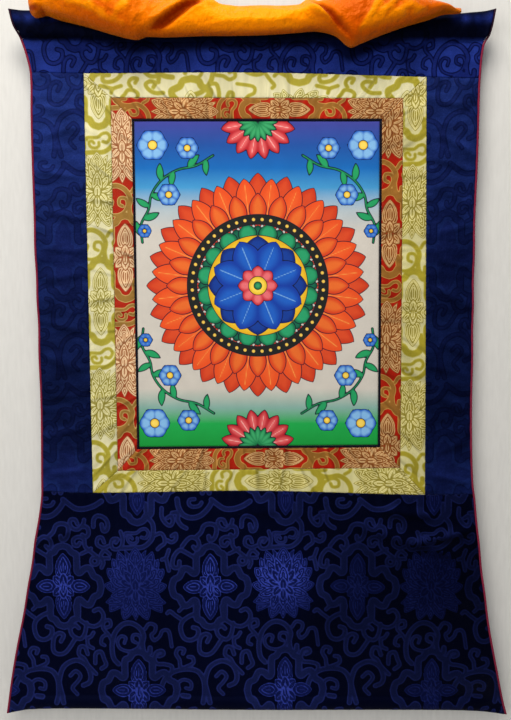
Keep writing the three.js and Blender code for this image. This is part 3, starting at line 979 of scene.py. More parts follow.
GOLD_SHINE = {"Specular_IOR_Level": 0.22, "Specular_Tint": (1.0, 0.93, 0.6)}
RED_SHINE = {"Specular_IOR_Level": 0.14, "Specular_Tint": (1.0, 0.62, 0.3)}
# One damask in three copies of painted light: its scrolls are woven, but the heading's bright ground, the
# sides' low contrast and the foot's bright scrolls and veins are painted sheen.
BLUE_FOOT = damask(
    "foot damask", (0.0004, 0.001, 0.0078), (0.0052, 0.0084, 0.047), (0.0092, 0.0142, 0.086),
    (0.0036, 0.0062, 0.05), (0.031, 0.05, 0.33),
)
BLUE_SIDE = damask(
    "side damask", (0.006, 0.0136, 0.078), (0.0042, 0.0086, 0.055), (0.0028, 0.0058, 0.037),
    (0.0047, 0.0094, 0.06), (0.0068, 0.013, 0.085), crumple=2.1, folds=0.0025,
)
BLUE_HEADING = damask(
    "heading damask", (0.0105, 0.0235, 0.165), (0.006, 0.0125, 0.1), (0.0016, 0.0032, 0.034),
    (0.0065, 0.014, 0.11), (0.013, 0.027, 0.19), crumple=0.6, folds=0.001,
)
GOLD = brocade(
    "gold brocade", (0.62, 0.57, 0.33), (0.33, 0.275, 0.022), (0.46, 0.41, 0.09),
    (0.4, 0.345, 0.09), (0.22, 0.18, 0.022), (0.72, 0.66, 0.34), 0.06, GOLD_SHINE,
)
# A darker, warmer copy of the gold for the right and bottom strips: painted shade where they turn from
# the light.
GOLD_PAINTED_SHADE = brocade(
    "gold brocade painted shade", (0.6, 0.54, 0.25), (0.34, 0.275, 0.02), (0.46, 0.4, 0.08),
    (0.41, 0.34, 0.075), (0.23, 0.18, 0.02), (0.74, 0.65, 0.28), 0.06, GOLD_SHINE,
)
RED = brocade(
    "red brocade", (0.4, 0.011, 0.004), (0.3, 0.125, 0.022), (0.52, 0.27, 0.065),
    (0.36, 0.145, 0.036), (0.2, 0.05, 0.012), (0.72, 0.44, 0.2), 0.05, RED_SHINE,
)
# A copy of the red for the left strip with paler metal thread and a darker ground: a painted sheen.
RED_PAINTED_SHEEN = brocade(
    "red brocade painted sheen", (0.34, 0.01, 0.004), (0.27, 0.14, 0.028), (0.48, 0.31, 0.1),
    (0.44, 0.23, 0.105), (0.26, 0.08, 0.03), (0.82, 0.58, 0.34), 0.05, RED_SHINE,
)
SILK = silk()
BLUE_REVERSE = plain_cloth("damask reverse", (0.012, 0.018, 0.09), 0.8, Specular_IOR_Level=0.1)
GOLD_REVERSE = plain_cloth("gold reverse", (0.42, 0.38, 0.2), 0.7)
RED_REVERSE = plain_cloth("red reverse", (0.3, 0.09, 0.05), 0.7)
CANVAS_REVERSE = plain_cloth("canvas reverse", (0.55, 0.48, 0.38), 0.9, 0.0015)
PIPING = piping_cloth()
DARK = plain_cloth("dark piping", (0.002, 0.0025, 0.008), 0.8, Specular_IOR_Level=0.1)

CANVAS_MIDDLE = (3.25, -371.75)
HALF_HIGH = 226.0  # of the picture


def petals(x, z, count, near, far, width, phase=0.0):
    """The signed distance to a ring of pointed petals, and the distance to their midribs."""
    radius, angle = np.hypot(x, z), np.arctan2(x, z)
    sector = 2 * np.pi / count
    folded = (angle + phase * sector) % sector - sector / 2
    along, off = radius * np.cos(folded), np.abs(radius * np.sin(folded))
    t = np.clip((along - near) / (far - near), 0, 1)
    half = width / 2 * np.sin(np.pi * t**1.3) ** 0.75
    body = np.maximum(off - half, np.maximum(near - along, along - far))
    return body * 0.8, np.maximum(off, np.maximum(near + 4 - along, along - far + 9))


def vine(x, z, path, width, leaves):
    """A stem with a leaf on alternate sides of it, as signed distances."""
    stem = distance_to(path, [width] * len(path), x, z)
    leaf = np.full(np.shape(x), 1e3)
    for index, (turn, long) in enumerate(leaves):
        start = path[int((index + 0.6) / len(leaves) * (len(path) - 1))]
        bend = 24 * (-1) ** index
        spine, radii = petal_path(*start, turn, long, long * 0.42, bend, VINE_BLUNT)
        leaf = np.minimum(leaf, distance_to(spine, radii, x, z))
    return np.minimum(stem, leaf)


# The vine in one quarter of the picture, the direction and length of its leaves, and its flowers'
# places and sizes. Then the ring of beads round the middle.
VINE = [(161, 60), (163, 84), (152, 106), (148, 126), (134, 146), (112, 160), (86, 166), (62, 180)]
VINE_LEAVES = [(60, 22), (170, 24), (20, 22), (200, 26), (75, 24), (-70, 22), (120, 24), (-80, 22)]
VINE_BLUNT = 0.8
FLOWERS = [(124, 126, 16), (98, 190, 16), (146, 194, 22), (158, 76, 10)]
BEAD_RING = 92
BEADS = 48
# Rings of petals round the picture's middle and fans at its top and bottom edges: how many, where
# they start and end, their width and the share of a petal that they are turned by.
RINGS = {
    "back_flame": (24, 80, 156, 32, 0.5),
    "front_flame": (24, 78, 149, 29),
    "low_flame": (24, 76, 128, 24, 0.5),
    "leaf": (16, 54, 87, 26),
    "leaf_low": (16, 54, 84, 20, 0.5),
    "lotus_low": (8, 12, 69, 42, 0.5),
    "lotus": (8, 8, 66, 38),
    "rose": (8, 4, 28, 18, 0.5),
}
FANS = {"fan": (16, 12, 52, 17), "fan_core": (16, 0, 28, 9, 0.5)}
DISCS = {"disc": 70, "heart_ring": 13, "centre": 5.5}
# The fields of petals with a painted midrib, and that rib's field and colour.
RIBS = {
    "front_flame": ("flame_rib", (0.8, 0.26, 0.05)),
    "lotus": ("lotus_rib", (0.18, 0.38, 0.66)),
    "fan": ("fan_rib", (0.78, 0.36, 0.32)),
}


def picture(x, z, u, v):
    """The layers of the painted design, each a signed distance."""
    px, pz = x - CANVAS_MIDDLE[0], z - CANVAS_MIDDLE[1]
    qx, qz = np.abs(px), np.abs(pz)
    radius = np.hypot(px, pz)
    layer = {name: radius - size for name, size in DISCS.items()}
    layer["height"] = pz / HALF_HIGH
    layer["vine"] = vine(qx, qz, smooth_path(VINE, 5), 1.6, VINE_LEAVES)
    blossoms = [petals(qx - fx, qz - fz, 6, 2, size, size) for fx, fz, size in FLOWERS]
    layer["flower"] = np.minimum.reduce([blossom[0] for blossom in blossoms])
    hearts = [np.hypot(qx - fx, qz - fz) - size * 0.3 for fx, fz, size in FLOWERS]
    layer["heart"] = np.minimum.reduce(hearts)
    for group, height in ((RINGS, pz), (FANS, qz - HALF_HIGH)):
        for name, ring in group.items():
            layer[name], rib = petals(px, height, *ring)
            if name in RIBS:
                layer[RIBS[name][0]] = rib
    layer["ring"] = np.abs(radius - BEAD_RING) - 7
    sector = 2 * np.pi / BEADS
    angle = (np.arctan2(px, pz) % sector) - sector / 2
    layer["bead"] = np.hypot(radius * np.cos(angle) - BEAD_RING, radius * np.sin(angle)) - 3
    return layer


# The picture's layers from the lowest up: the field, its fill, how far in from its edge the
# fill starts to pale, and the paler colour there.
PAINT = [
    ("vine", (0.006, 0.14, 0.05), 1.2, (0.015, 0.3, 0.1)),
    ("flower", (0.008, 0.09, 0.44), 3.0, (0.2, 0.42, 0.68)),
    ("heart", (0.7, 0.42, 0.03), 2.0, (0.85, 0.6, 0.1)),
    ("fan", (0.42, 0.012, 0.02), 3.4, (0.68, 0.1, 0.1)),
    ("fan_core", (0.006, 0.16, 0.05), 1.8, (0.04, 0.34, 0.12)),
    ("back_flame", (0.52, 0.035, 0.01), 5.0, (0.62, 0.06, 0.015)),
    ("front_flame", (0.72, 0.07, 0.012), 6.0, (0.76, 0.1, 0.018)),
    ("low_flame", (0.6, 0.045, 0.01), 4.0, (0.72, 0.13, 0.02)),
    ("leaf_low", (0.003, 0.045, 0.025), 2.5, (0.006, 0.12, 0.06)),
    ("leaf", (0.006, 0.13, 0.05), 3.0, (0.02, 0.3, 0.12)),
    ("ring", (0.012, 0.014, 0.012), 9.0, (0.012, 0.014, 0.012)),
    ("bead", (0.6, 0.33, 0.03), 1.2, (0.8, 0.56, 0.1)),
    ("disc", (0.72, 0.4, 0.012), 5.0, (0.8, 0.5, 0.03)),
    ("lotus_low", (0.004, 0.016, 0.14), 4.0, (0.006, 0.04, 0.26)),
    ("lotus", (0.006, 0.04, 0.31), 6.5, (0.012, 0.1, 0.46)),
    ("rose", (0.5, 0.02, 0.035), 3.0, (0.72, 0.14, 0.15)),
    ("heart_ring", (0.75, 0.45, 0.02), 3.0, (0.85, 0.6, 0.07)),
    ("centre", (0.006, 0.14, 0.05), 2.5, (0.04, 0.32, 0.12)),
]
# The ground behind them, from the picture's foot at 0 to its top at 1.
SKY = [
    (0.0, (0.006, 0.26, 0.035)),
    (0.07, (0.01, 0.33, 0.06)),
    (0.12, (0.2, 0.36, 0.3)),
    (0.18, (0.54, 0.49, 0.42)),
    (0.66, (0.56, 0.51, 0.44)),
    (0.73, (0.4, 0.46, 0.48)),
    (0.8, (0.05, 0.27, 0.52)),
    (0.86, (0.006, 0.12, 0.4)),
    (0.93, (0.012, 0.07, 0.3)),
    (1.0, (0.045, 0.05, 0.27)),
]
OUTLINE = (0.004, 0.005, 0.02)


def painted():
    """Mineral paint on primed canvas."""
    s = Shader("painted canvas")
    height = s.math("MULTIPLY", s.math("ADD", s.field("height"), 1.0), 0.5)
    ramp = s.node("ShaderNodeValToRGB", {"Fac": height})
    stops = ramp.color_ramp.elements
    while len(stops) < len(SKY):
        stops.new(0.5)
    for stop, (position, colour) in zip(stops, SKY):
        stop.position = position
        stop.color = (*colour, 1)
    colour = ramp.outputs["Color"]
    for name, fill, deep, pale in PAINT:
        field = s.field(name)
        shade = s.mix(s.below(field, -deep, deep * 0.8), fill, pale)
        if name in RIBS:
            rib, rib_colour = RIBS[name]
            shade = s.mix(s.below(s.field(rib), 0.7, 0.4), shade, rib_colour)
        colour = s.mix(s.below(field, 0.45, 0.3), colour, OUTLINE)
        colour = s.mix(s.below(field, -0.55, 0.3), colour, shade)
    colour = s.tinted(colour, s.noise(45.0), (0.9, 0.9, 0.9), (1.08, 1.08, 1.08))
    s.weave(0.0009, 0.15, 0.0001)
    return s.finish(colour, 0.8, Specular_IOR_Level=0.15)


PAINTED = painted()


def stand_for(piece, node):
    """Says which solid a piece takes the place of."""
    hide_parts(node)
    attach(piece, "root")


def declare(piece, node):
    """Says what a piece stands for."""
    stand_for(piece, node)


# How far the panels reach from seam to seam, for the gathers along them.
HEADING_HIGH = 84
SIDE_WIDE = 72
SIDE_HIGH = 585
FOOT_HIGH = 325
# Half widths of the scroll at its two cross seams, to the cord's outside.
HEADING_SEAM_HALF = 311
SIDE_FOOT_HALF = 308.5
FOOT_SEAM_ENDS = (-307, 312.5)
# Where a repeat of the damask starts on each panel. The left side's is mirrored from the right's.
HEADING_REPEAT = (-36, 12)
SIDE_REPEAT = (268, -330)
FOOT_REPEAT = (-65, -803)


def heading():
    left, right = CORD - HEADING_SEAM_HALF, HEADING_SEAM_HALF - CORD
    place = spanned(
        across(TOP_EDGE, LEFT_EDGE["x"][0] + CORD, RIGHT_EDGE["x"][0] - CORD),
        across(HEADING_SEAM, left, right),
        down(LEFT_EDGE, 1, TOP_EDGE["z"][0], follow(HEADING_SEAM, "x", "z", left)),
        down(RIGHT_EDGE, -1, TOP_EDGE["z"][-1], follow(HEADING_SEAM, "x", "z", right)),
    )

    def shape(x, z, u, v):
        share = ROD_HEM["share"]
        from_end = ROD_HEM["half"] - np.abs(x - ROD_HEM["middle"])
        ends = lerp(0.3, 1, smooth(from_end, 0, ROD_HEM["end"]))
        full = np.where(v < share, roundness(np.minimum(v / share, 1)) * ends, 0)
        below_hem = np.abs(v - share) * HEADING_HIGH
        tuck = 0.9 * np.exp(-((below_hem / 1.6) ** 2))
        slack = pucker(x, below_hem, 17, 12, 0.6)
        return full * ROD_HEM["front"] - tuck + slack, full * ROD_HEM["back"]

    pattern = woven(1.0, HEADING_REPEAT, heading_gleam)
    skins = [BLUE_HEADING, BLUE_REVERSE]
    size = (648, 88)
    piece = hung("heading_cloth", place, size, SPACING["blue"], SHEET, shape, pattern, skins)
    declare(piece, "heading")


def side_shape(x, z, u, v):
    """Gathers along all four edges of a side panel."""
    uprights = pucker(z, u * SIDE_WIDE, 19, 16, 0.5) + pucker(z, (1 - u) * SIDE_WIDE, 15, 12, 0.4)
    return uprights + pucker(x, np.minimum(v, 1 - v) * SIDE_HIGH, 14, 16, 0.5), 0


def side(name, outline, edge, high, low):
    """A side panel. edge is -1 at the left and 1 at the right, high and low its inner corners."""
    top = across(HEADING_SEAM, edge * (HEADING_SEAM_HALF - CORD), high[0])
    bottom = across(FOOT_SEAM, edge * (SIDE_FOOT_HALF - CORD), low[0])
    rim = down(outline, -edge, float(top(0)[1]), float(bottom(0)[1]))
    place = spanned(top, bottom, rim, line(high, low))
    pattern = woven(1.0, (edge * SIDE_REPEAT[0], SIDE_REPEAT[1]), gleam)
    skins = [BLUE_SIDE, BLUE_REVERSE]
    label, size = f"side_{name}_cloth", (73, SIDE_HIGH)
    piece = hung(label, place, size, SPACING["blue"], SHEET, side_shape, pattern, skins)
    declare(piece, f"side_{name}")


def foot():
    left, right = FOOT_SEAM_ENDS[0] + CORD, FOOT_SEAM_ENDS[1] - CORD
    place = spanned(
        across(FOOT_SEAM, left, right),
        across(FOOT_EDGE, LEFT_EDGE["x"][-1] + CORD, RIGHT_EDGE["x"][-1] - CORD),
        down(LEFT_EDGE, 1, float(follow(FOOT_SEAM, "x", "z", left)), LEFT_EDGE["z"][-1]),
        down(RIGHT_EDGE, -1, float(follow(FOOT_SEAM, "x", "z", right)), RIGHT_EDGE["z"][-1]),
    )

    def shape(x, z, u, v):
        share = FOOT_HEM["share"]
        t = (v - (1 - share)) / share
        ends = smooth(FOOT_HEM["half"] - np.abs(x), 0, FOOT_HEM["end"])
        full = np.where(t > 0, roundness(np.clip(t, 0, 1)) * ends, 0)
        slack = pucker(x, v * FOOT_HIGH, 21, 26, 0.7)
        return full * FOOT_HEM["front"] + slack, full * FOOT_HEM["back"]

    pattern = woven(1.0, FOOT_REPEAT, gleam)
    skins = [BLUE_FOOT, BLUE_REVERSE]
    size = (670, FOOT_HIGH)
    piece = hung("foot_cloth", place, size, SPACING["blue"], SHEET, shape, pattern, skins)
    declare(piece, "foot")


def grow(corners, margin):
    """A rectangle's corners moved outwards by a margin."""
    cx, cz = np.mean(corners, axis=0)
    step = math.copysign
    return [(x + step(margin, x - cx), z + step(margin, z - cz)) for x, z in corners]


def outer_edge(corners, i, following):
    """The gold frame's outer edge follows the seams; the others are straight."""
    seams = {0: HEADING_SEAM, 2: FOOT_SEAM}
    if corners is GOLD_OUTSIDE and i in seams:
        return across(seams[i], corners[i][0], corners[following][0])
    return line(corners[i], corners[following])


def mitred(outer, inner):
    """The four strips of a mitred frame: number, side, surface and length."""
    for i, side_name in enumerate(("top", "right", "bottom", "left")):
        following = (i + 1) % 4
        place = spanned(
            outer_edge(outer, i, following),
            line(inner[i], inner[following]),
            line(outer[i], inner[i]),
            line(outer[following], inner[following]),
        )
        yield i, side_name, place, math.dist(outer[i], outer[following])


# Small creases across a satin strip: where along it, how far they lean, their height and width.
SATIN_CREASES = table("""
  at  lean proud width
 0.06  0.1   0.5   3.0
 0.13 -0.2   0.7   4.5
 0.21  0.3   0.4   3.0
 0.29 -0.1   0.6   5.0
 0.38  0.2   0.5   3.5
 0.46 -0.3   0.4   3.0
 0.55  0.1   0.7   5.0
 0.63  0.3   0.4   3.0
 0.71 -0.2   0.6   4.0
 0.80  0.1   0.5   3.5
 0.88 -0.1   0.7   4.5
 0.95  0.2   0.4   3.0
""")
STRIP_WIDE = 36
CREASE_DEPTH = 1.7


def satin_creases(along, v, long, seed):
    """How far a strip's creases stand out, each strip's in other places by its seed."""
    height = np.zeros_like(along)
    for at, lean, proud, width in each(SATIN_CREASES):
        off = (along - (at + 0.37 * seed) % 1) * long + lean * (v - 0.5) * STRIP_WIDE
        height += CREASE_DEPTH * proud * np.exp(-off * off / width**2) * (0.4 + 0.6 * v)
    return height


def strip_shape(long, seed):
    """The small creases across a satin strip, and the gathers at its seams."""

    def shape(x, z, u, v):
        seam = pucker(u * long + 40 * seed, np.minimum(v, 1 - v) * STRIP_WIDE, 11, 9, 0.3)
        return satin_creases(u, v, long, seed) + seam, 0

    return shape


def strip_painted_light(level, i, seed):
    """The satin's painted gleam along a strip: painted brighter and darker where it rises and dips."""

    long = 500  # near enough for every strip
    near = 2 / long

    def glow(x, z, u, v):
        along = x if i in (0, 2) else z
        swell = 0.14 * np.sin(along / 21 + i) * np.sin(along / 9.3 + 2 * i)
        swell += 0.2 * np.sin(along / 47 + 1.7 * i) * (v - 0.3)
        slope = satin_creases(u - near, v, long, seed) - satin_creases(u + near, v, long, seed)
        return level * (1 + swell + 0.5 * slope)

    return glow


# The frames' corners, widths and cloths. For the top, right, bottom and left strip in turn: the
# pattern's scale, where its repeat starts in the strip's own directions, and its painted gleam.
FRAMES = {
    "gold": {
        "corners": (GOLD_OUTSIDE, RED_OUTSIDE), "wide": STRIP_WIDE, "seed": 4,
        "scales": (0.97, 0.97, 1.0, 0.97),
        "shifts": [(-40, 60), (322, -260), (-545, -120), (-116, -244)],
        "glow": (1.06, 0.88, 0.98, 1.0),
        # The right and bottom strips take the gold's painted shade copy.
        "fronts": [GOLD, GOLD_PAINTED_SHADE, GOLD_PAINTED_SHADE, GOLD], "reverse": GOLD_REVERSE,
    },
    "red": {
        "corners": (RED_OUTSIDE, grow(CANVAS_OUTSIDE, DARK_PIPING)), "wide": 32, "seed": 3,
        "scales": (0.88, 0.97, 0.88, 0.97),
        "shifts": [(-38, -102), (288, -150), (-525, -109), (-81, -183)],
        "glow": (0.8, 0.8, 0.84, 1.0),
        # The left strip takes the red's painted sheen copy.
        "fronts": [RED, RED, RED, RED_PAINTED_SHEEN], "reverse": RED_REVERSE,
    },
}


def brocade_frame(kind, facts):
    """The four mitred strips of a frame, each cut along the cloth's own repeat."""
    for i, side_name, place, long in mitred(*facts["corners"]):
        seed = facts["seed"] + i
        glow = strip_painted_light(facts["glow"][i], i, seed)
        crosswise = side_name in ("top", "bottom")
        pattern = woven(facts["scales"][i], facts["shifts"][i], glow, crosswise)
        label, size = f"{kind}_{side_name}_strip", (long, facts["wide"])
        shape, skins = strip_shape(long, seed), [facts["fronts"][i], facts["reverse"]]
        piece = hung(label, place, size, SPACING["brocade"], SHEET, shape, pattern, skins)
        declare(piece, f"{kind}_{side_name}")


def dark_piping():
    """The piping round the canvas, too narrow for its edges to be turned under."""
    gap = SEAM_INSET / DARK_PIPING
    u, v = grid(cells(400, SPACING["piping"]), BACK_STEP)
    half = SHEET / 2 + DARK_PIPING_RISE * roundness(v)
    for _, side_name, place, _ in mitred(grow(CANVAS_OUTSIDE, DARK_PIPING), CANVAS_OUTSIDE):
        x, z = place(u, gap + v * (1 - 2 * gap))
        middle = relief(x, z) + fine_creases(x, z)
        label = f"dark_piping_{side_name}"
        piece = closed_sheet(f"{label}_strip", x, z, middle - half, middle + half, {}, [DARK])
        stand_for(piece, label)


def no_bulge(x, z, u, v):
    return 0, 0


def canvas():
    a, b, c, d = CANVAS_OUTSIDE
    place = spanned(line(a, b), line(d, c), line(a, d), line(b, c))
    size, skins = (341, 453), [PAINTED, CANVAS_REVERSE]
    piece = hung("painting", place, size, SPACING["canvas"], CANVAS, no_bulge, picture, skins)
    declare(piece, "canvas")


CORD_SIDES = 10
CORD_RINGS = 520
TWIST_PITCH = 5.0


def edge_piping(name, rows, inward):
    """The crimson cord down one side, lightly twisted."""
    z = lerp(rows["z"][0], rows["z"][-1], np.linspace(0, 1, CORD_RINGS) ** 1.2)
    x = follow(rows, "z", "x", z) + inward * CORD / 2 * sideways(rows, z)
    at_hem = np.exp(-(((z - CORD_AT_HEM["z"]) / CORD_AT_HEM["reach"]) ** 2))
    y = relief(x, z) + fine_creases(x, z) + CORD_BACK + CORD_AT_HEM["back"] * at_hem
    angle = 2 * np.pi * np.arange(CORD_SIDES) / CORD_SIDES
    rope = 1 + 0.03 * np.sin(2 * angle[None, :] + 2 * np.pi * z[:, None] / TWIST_PITCH)
    px = x[:, None] + CORD / 2 * np.cos(angle) * rope
    py = y[:, None] + CORD / 2 * np.sin(angle) * rope
    pz = np.repeat(z[:, None], CORD_SIDES, 1)
    points = np.stack([px, py, pz], -1).reshape(-1, 3)
    around = np.arange(CORD_SIDES)
    first = np.arange(CORD_RINGS - 1)[:, None] * CORD_SIDES
    a, b = first + around, first + (around + 1) % CORD_SIDES
    quads = np.stack([a, b, b + CORD_SIDES, a + CORD_SIDES], -1).reshape(-1, 4).tolist()
    last = (CORD_RINGS - 1) * CORD_SIDES
    quads += [around[::-1].tolist(), (last + around).tolist()]
    # Painted shade on the cord where it runs into the rod hem.
    hem = {"hem": np.repeat(smooth(z, -42, -30), CORD_SIDES)}
    piece = make_object(f"{name}_cord", points, quads, np.empty((0, 3)), [], hem, [PIPING])
    stand_for(piece, name)


# Soft wrinkles of the silk: a line over its front, how proud it stands and its width.
VEIL_WRINKLES = table("""
  x1  z1   x2  z2 proud width
-280  12 -190 -20   1.6     6
-270  24 -176  -8   1.8     7
-240  34 -165   2   1.6     6
-215 -18 -168 -34   1.4     5
-205  12 -160  32   1.5     5
-190 -26 -150  10   2.0     6
-120 -12  -60  -8   1.2     4
 -90   4  -20  -4   1.4     5
 -60 -26   60 -24   1.3     4
 -10 -10   70 -14   1.0     4
  20 -20  100 -10   1.2     4
  60  -4  106 -26   1.6     5
 134 -48  166   4   2.4     5
 140 -46  196  14   1.8     5
 146 -40  216   2   1.8     6
 160 -34  236  -6   1.4     5
 176  20  130  30   1.2     5
""")
WRINKLE_DEPTH = 1.3
VEIL_GIRTH = 165  # round a section


def veil_section(low, top, out, sewn):
    """Points round the section: sewn to the hem, round the low fold, up, over and back in."""
    height = top - low
    crown = np.maximum(top, sewn + 5)
    tuck = np.minimum(1, (crown - sewn) / 17)

    def forward(share):
        return lerp(np.full_like(low, VEIL_SEAM_Y), -(10 + out), share)

    rows = [
        (forward(0), sewn),
        (forward(0) - 0.8, lerp(sewn, low, 0.45)),
        (forward(0.12), low + np.clip((sewn - low) * 0.3, 0.4, 4)),
        (forward(0.32), low + 0.4),
        (forward(0.72), low + 0.07 * height),
        (forward(0.97), low + 0.3 * height),
        (forward(0.98), low + 0.52 * height),
        (forward(0.82), low + 0.76 * height),
        (forward(0.55), crown - tuck),
        (forward(0.3), crown - 3 * tuck),
        (forward(0.2), crown - 9 * tuck),
        (forward(0.3), sewn + 6 * tuck),
        (forward(0.5), sewn + tuck),
    ]
    return np.array(rows)


def through(points, s):
    """A smooth curve through section points, at shares s of their spacing, for every column."""
    gaps = np.sqrt(np.hypot(*np.moveaxis(np.diff(points, axis=0), 1, 0)) + 1e-6)
    knots = np.concatenate([[0], np.cumsum(gaps.mean(axis=1))])
    knots = knots / knots[-1]
    slopes = np.gradient(points, knots, axis=0)
    i = np.clip(np.searchsorted(knots, s), 1, len(knots) - 1)
    width = (knots[i] - knots[i - 1])[:, None, None]
    t = ((s - knots[i - 1]) / (knots[i] - knots[i - 1]))[:, None, None]
    rise = t * (1 - t) * (1 - t) * slopes[i - 1] + t * t * (t - 1) * slopes[i]
    return lerp(points[i - 1], points[i], t * t * (3 - 2 * t)) + width * rise


def pleats(x, z):
    """The height of the pleats' lips, and the depth of the hollows beside them."""
    lips, dips = np.zeros_like(x), np.zeros_like(x)
    for start, low, lean, rise, lip, hollow, wide in each(VEIL_PLEATS):
        climb = (z - low) / rise
        off = x - (start + lean * climb)
        reach = smooth(climb, -0.2, 0.15) * (1 - smooth(climb, 0.9, 1.2))
        lips += reach * lip * np.exp(-((off + PLEAT_WIDTH / 2) ** 2) / PLEAT_WIDTH**2)
        dips += reach * hollow * smooth(off, -1, 6) * (1 - smooth(off, wide * 0.6, wide * 1.3))
    return lips, dips


def wrinkles(x, z):
    height = 0.5 * np.sin(x / 5.3 + z / 9.0) * np.sin(x / 17.0 - z / 6.1)
    height += 0.35 * np.sin(x / 3.1 - z / 4.2 + 1.5 * np.sin(x / 23)) * np.sin(x / 9.7 + z / 5.5)
    return height + WRINKLE_DEPTH * ridges(VEIL_WRINKLES, x, z)


# Painted shade in small folds at the veil's left end.
SILK_HOLLOWS = table("""
   x  z wide high
-301  -6   17  3.6
-284 -11    2    6
""")
# How much of the light reaches the silk along its length.
SILK_LIGHT = table("""
   x  lit
-301 0.30
-285 0.60
-260 0.35
-215 0.08
-170 0.12
-150 0.35
-120 0.65
 -70 0.90
 -20 0.95
  60 0.90
  85 0.50
 105 0.18
 122 0.04
 135 0.00
 160 0.03
 200 0.07
 240 0.15
 278 0.40
""")
# Shares round a section, each over a soft stretch: where the veil's front starts and ends, where
# its shaded underside ends and where its shaded back starts.
FRONT_FROM = (0.25, 0.42)
FRONT_TO = (0.62, 0.78)
UNDER_TO = (0.23, 0.37)
BEHIND_FROM = (0.66, 0.8)


def veil():
    left, right = VEIL_SECTIONS["x"][[0, -1]]
    columns, rows = cells(right - left, SPACING["veil"]), cells(VEIL_GIRTH, SPACING["veil"])
    x = np.linspace(left, right, columns + 1)
    sizes = [follow(VEIL_SECTIONS, "x", key, x) for key in ("low", "top", "out", "sewn")]
    s = np.linspace(0, 1, rows + 1)
    curve = through(veil_section(*sizes), s)
    y, z = curve[:, 0, :], curve[:, 1, :]
    xs = np.broadcast_to(x, y.shape)
    outer = (smooth(s, *FRONT_FROM) * (1 - smooth(s, *FRONT_TO)))[:, None]
    lips, dips = pleats(xs, z)
    folds = wrinkles(xs, z)
    y = y - outer * (lips - dips + folds)
    middle = np.stack([xs, y, z], -1)
    normal = np.cross(np.gradient(middle, axis=1), np.gradient(middle, axis=0))
    normal /= np.linalg.norm(normal, axis=-1, keepdims=True)
    points = (middle - normal * VEIL / 2).reshape(-1, 3)
    behind = (middle + normal * VEIL / 2).reshape(-1, 3)
    quads, back_faces, kept = grid_faces(columns, rows, 1)
    # Painted light and shade on the silk: shade on its underside and back, dark red in its pleats'
    # hollows and small folds, light along its length and highlights on its crests.
    shade = np.maximum(1 - smooth(s, *UNDER_TO), smooth(s, *BEHIND_FROM))[:, None]
    hollow = np.clip(outer * dips / 5, 0, 1)
    for px, pz, wide, high in each(SILK_HOLLOWS):
        spot = np.exp(-(((xs - px) / wide) ** 4) - ((z - pz) / high) ** 4)
        hollow = np.maximum(hollow, spot)
    lit = follow(SILK_LIGHT, "x", "lit", xs) * (0.75 + 0.25 * smooth(s, 0.2, 0.34)[:, None])
    fields = {
        "shade": np.broadcast_to(shade, y.shape),
        "hollow": hollow,
        "lit": lit,
        "painted_crest_highlight": outer * np.clip((folds - 0.8) / 1.6, 0, 1) * 0.7,
    }
    both = {key: np.append(field.ravel(), field.ravel()[kept]) for key, field in fields.items()}
    skins = [SILK, SILK]
    piece = make_object("veil_silk", points, quads, behind[kept], back_faces, both, skins)
    declare(piece, "veil")


# The room: a pale backdrop close behind, a pale floor and soft light.
WALL_Y = 26
FLOOR_Z = -1750
ROOM = 4000


def stage_plane(name, corners, material):
    mesh = bpy.data.meshes.new(name)
    mesh.from_pydata([Vector(c) * MM for c in corners], [], [[0, 1, 2, 3]])
    mesh.materials.append(material)
    obj = bpy.data.objects.new(name, mesh)
    bpy.context.scene.collection.objects.link(obj)
    obj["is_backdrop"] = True


def wall_material():
    """Pale plaster seen from the front only, so that the scroll's back can be seen too."""
    s = Shader("backdrop")
    grain = s.mix(s.noise(260.0, 3.0, (1, 1, 0.15)), (0.585, 0.565, 0.525), (0.68, 0.66, 0.615))
    s.finish(grain, 0.95, Specular_IOR_Level=0.1)
    clear = s.node("ShaderNodeBsdfTransparent").outputs[0]
    behind = s.node("ShaderNodeNewGeometry").outputs["Backfacing"]
    shadow = s.node("ShaderNodeLightPath").outputs["Is Shadow Ray"]
    see_through = s.math("MAXIMUM", behind, shadow)
    both = s.node("ShaderNodeMixShader", {0: see_through})
    s.give(both.inputs[1], s.bsdf.outputs[0])
    s.give(both.inputs[2], clear)
    s.give(s.tree.nodes["Material Output"].inputs["Surface"], both.outputs[0])
    return s.material


def floor_material():
    s = Shader("floor")
    return s.finish((0.7, 0.69, 0.67), 0.8)


def room():
    half, top = ROOM / 2, 900
    wall = [(-half, FLOOR_Z), (half, FLOOR_Z), (half, top), (-half, top)]
    stage_plane("backdrop", [(x, WALL_Y, z) for x, z in wall], wall_material())
    ground = [(-half, -half), (half, -half), (half, half), (-half, half)]
    stage_plane("floor", [(x, y, FLOOR_Z) for x, y in ground], floor_material())


CAMERA_FAR = 1018
CAMERA_PITCH = math.radians(3.6)
AIM = Vector((0, 0, -476.2))


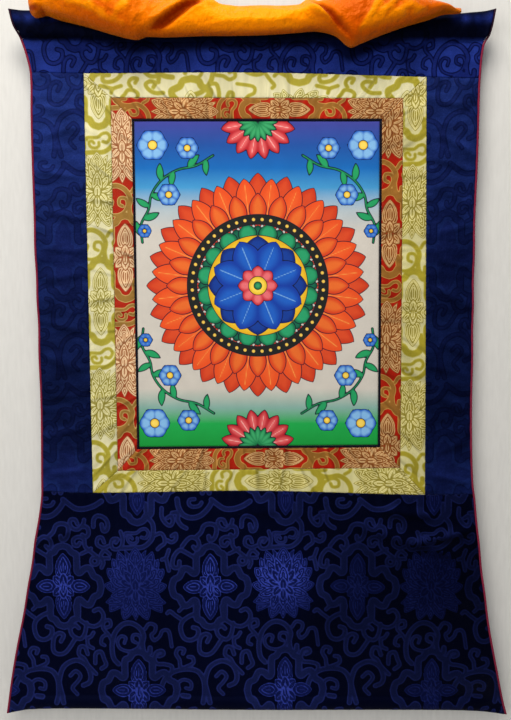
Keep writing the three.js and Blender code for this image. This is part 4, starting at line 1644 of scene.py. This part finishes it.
def camera():
    data = bpy.data.cameras.new("camera")
    data.lens = 36
    data.sensor_width = 36
    eye = AIM + CAMERA_FAR * Vector((0, -math.cos(CAMERA_PITCH), math.sin(CAMERA_PITCH)))
    obj = bpy.data.objects.new("camera", data)
    obj.location = eye * MM
    obj.rotation_euler = (AIM - eye).to_track_quat("-Z", "Y").to_euler()
    bpy.context.scene.collection.objects.link(obj)
    bpy.context.scene.camera = obj


def softbox(name, place, aim, size, watts, colour=(1, 1, 1)):
    data = bpy.data.lights.new(name, "AREA")
    data.shape = "RECTANGLE"
    data.size, data.size_y = size[0] * MM, size[1] * MM
    data.energy = watts
    data.color = colour
    obj = bpy.data.objects.new(name, data)
    obj.location = Vector(place) * MM
    obj.rotation_euler = (Vector(aim) - Vector(place)).to_track_quat("-Z", "Y").to_euler()
    bpy.context.scene.collection.objects.link(obj)


def world(strength):
    scene_world = bpy.data.worlds.new("studio")
    bpy.context.scene.world = scene_world
    scene_world.use_nodes = True
    background = scene_world.node_tree.nodes["Background"]
    background.inputs["Color"].default_value = (0.9, 0.94, 1.0, 1)
    background.inputs["Strength"].default_value = strength


heading()
side("left", LEFT_EDGE, -1, GOLD_OUTSIDE[0], GOLD_OUTSIDE[3])
side("right", RIGHT_EDGE, 1, GOLD_OUTSIDE[1], GOLD_OUTSIDE[2])
foot()
for kind, facts in FRAMES.items():
    brocade_frame(kind, facts)
dark_piping()
canvas()
edge_piping("piping_left", LEFT_EDGE, 1)
edge_piping("piping_right", RIGHT_EDGE, -1)
veil()

room()
camera()
softbox("ceiling", (-150, -900, 1000), (0, 0, -450), (900, 500), 23, (1.0, 0.97, 0.92))
softbox("front", (-900, -1700, -100), (0, 0, -500), (1400, 1400), 19)
softbox("behind", (600, 1800, 500), (0, 0, -450), (1500, 1500), 22)
world(0.32)
bpy.context.scene.view_settings.view_transform = "Standard"

boxes = {"cad": cad_box, "visual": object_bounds()}
{key: [list(map(float, corner)) for corner in box] for key, box in boxes.items()}
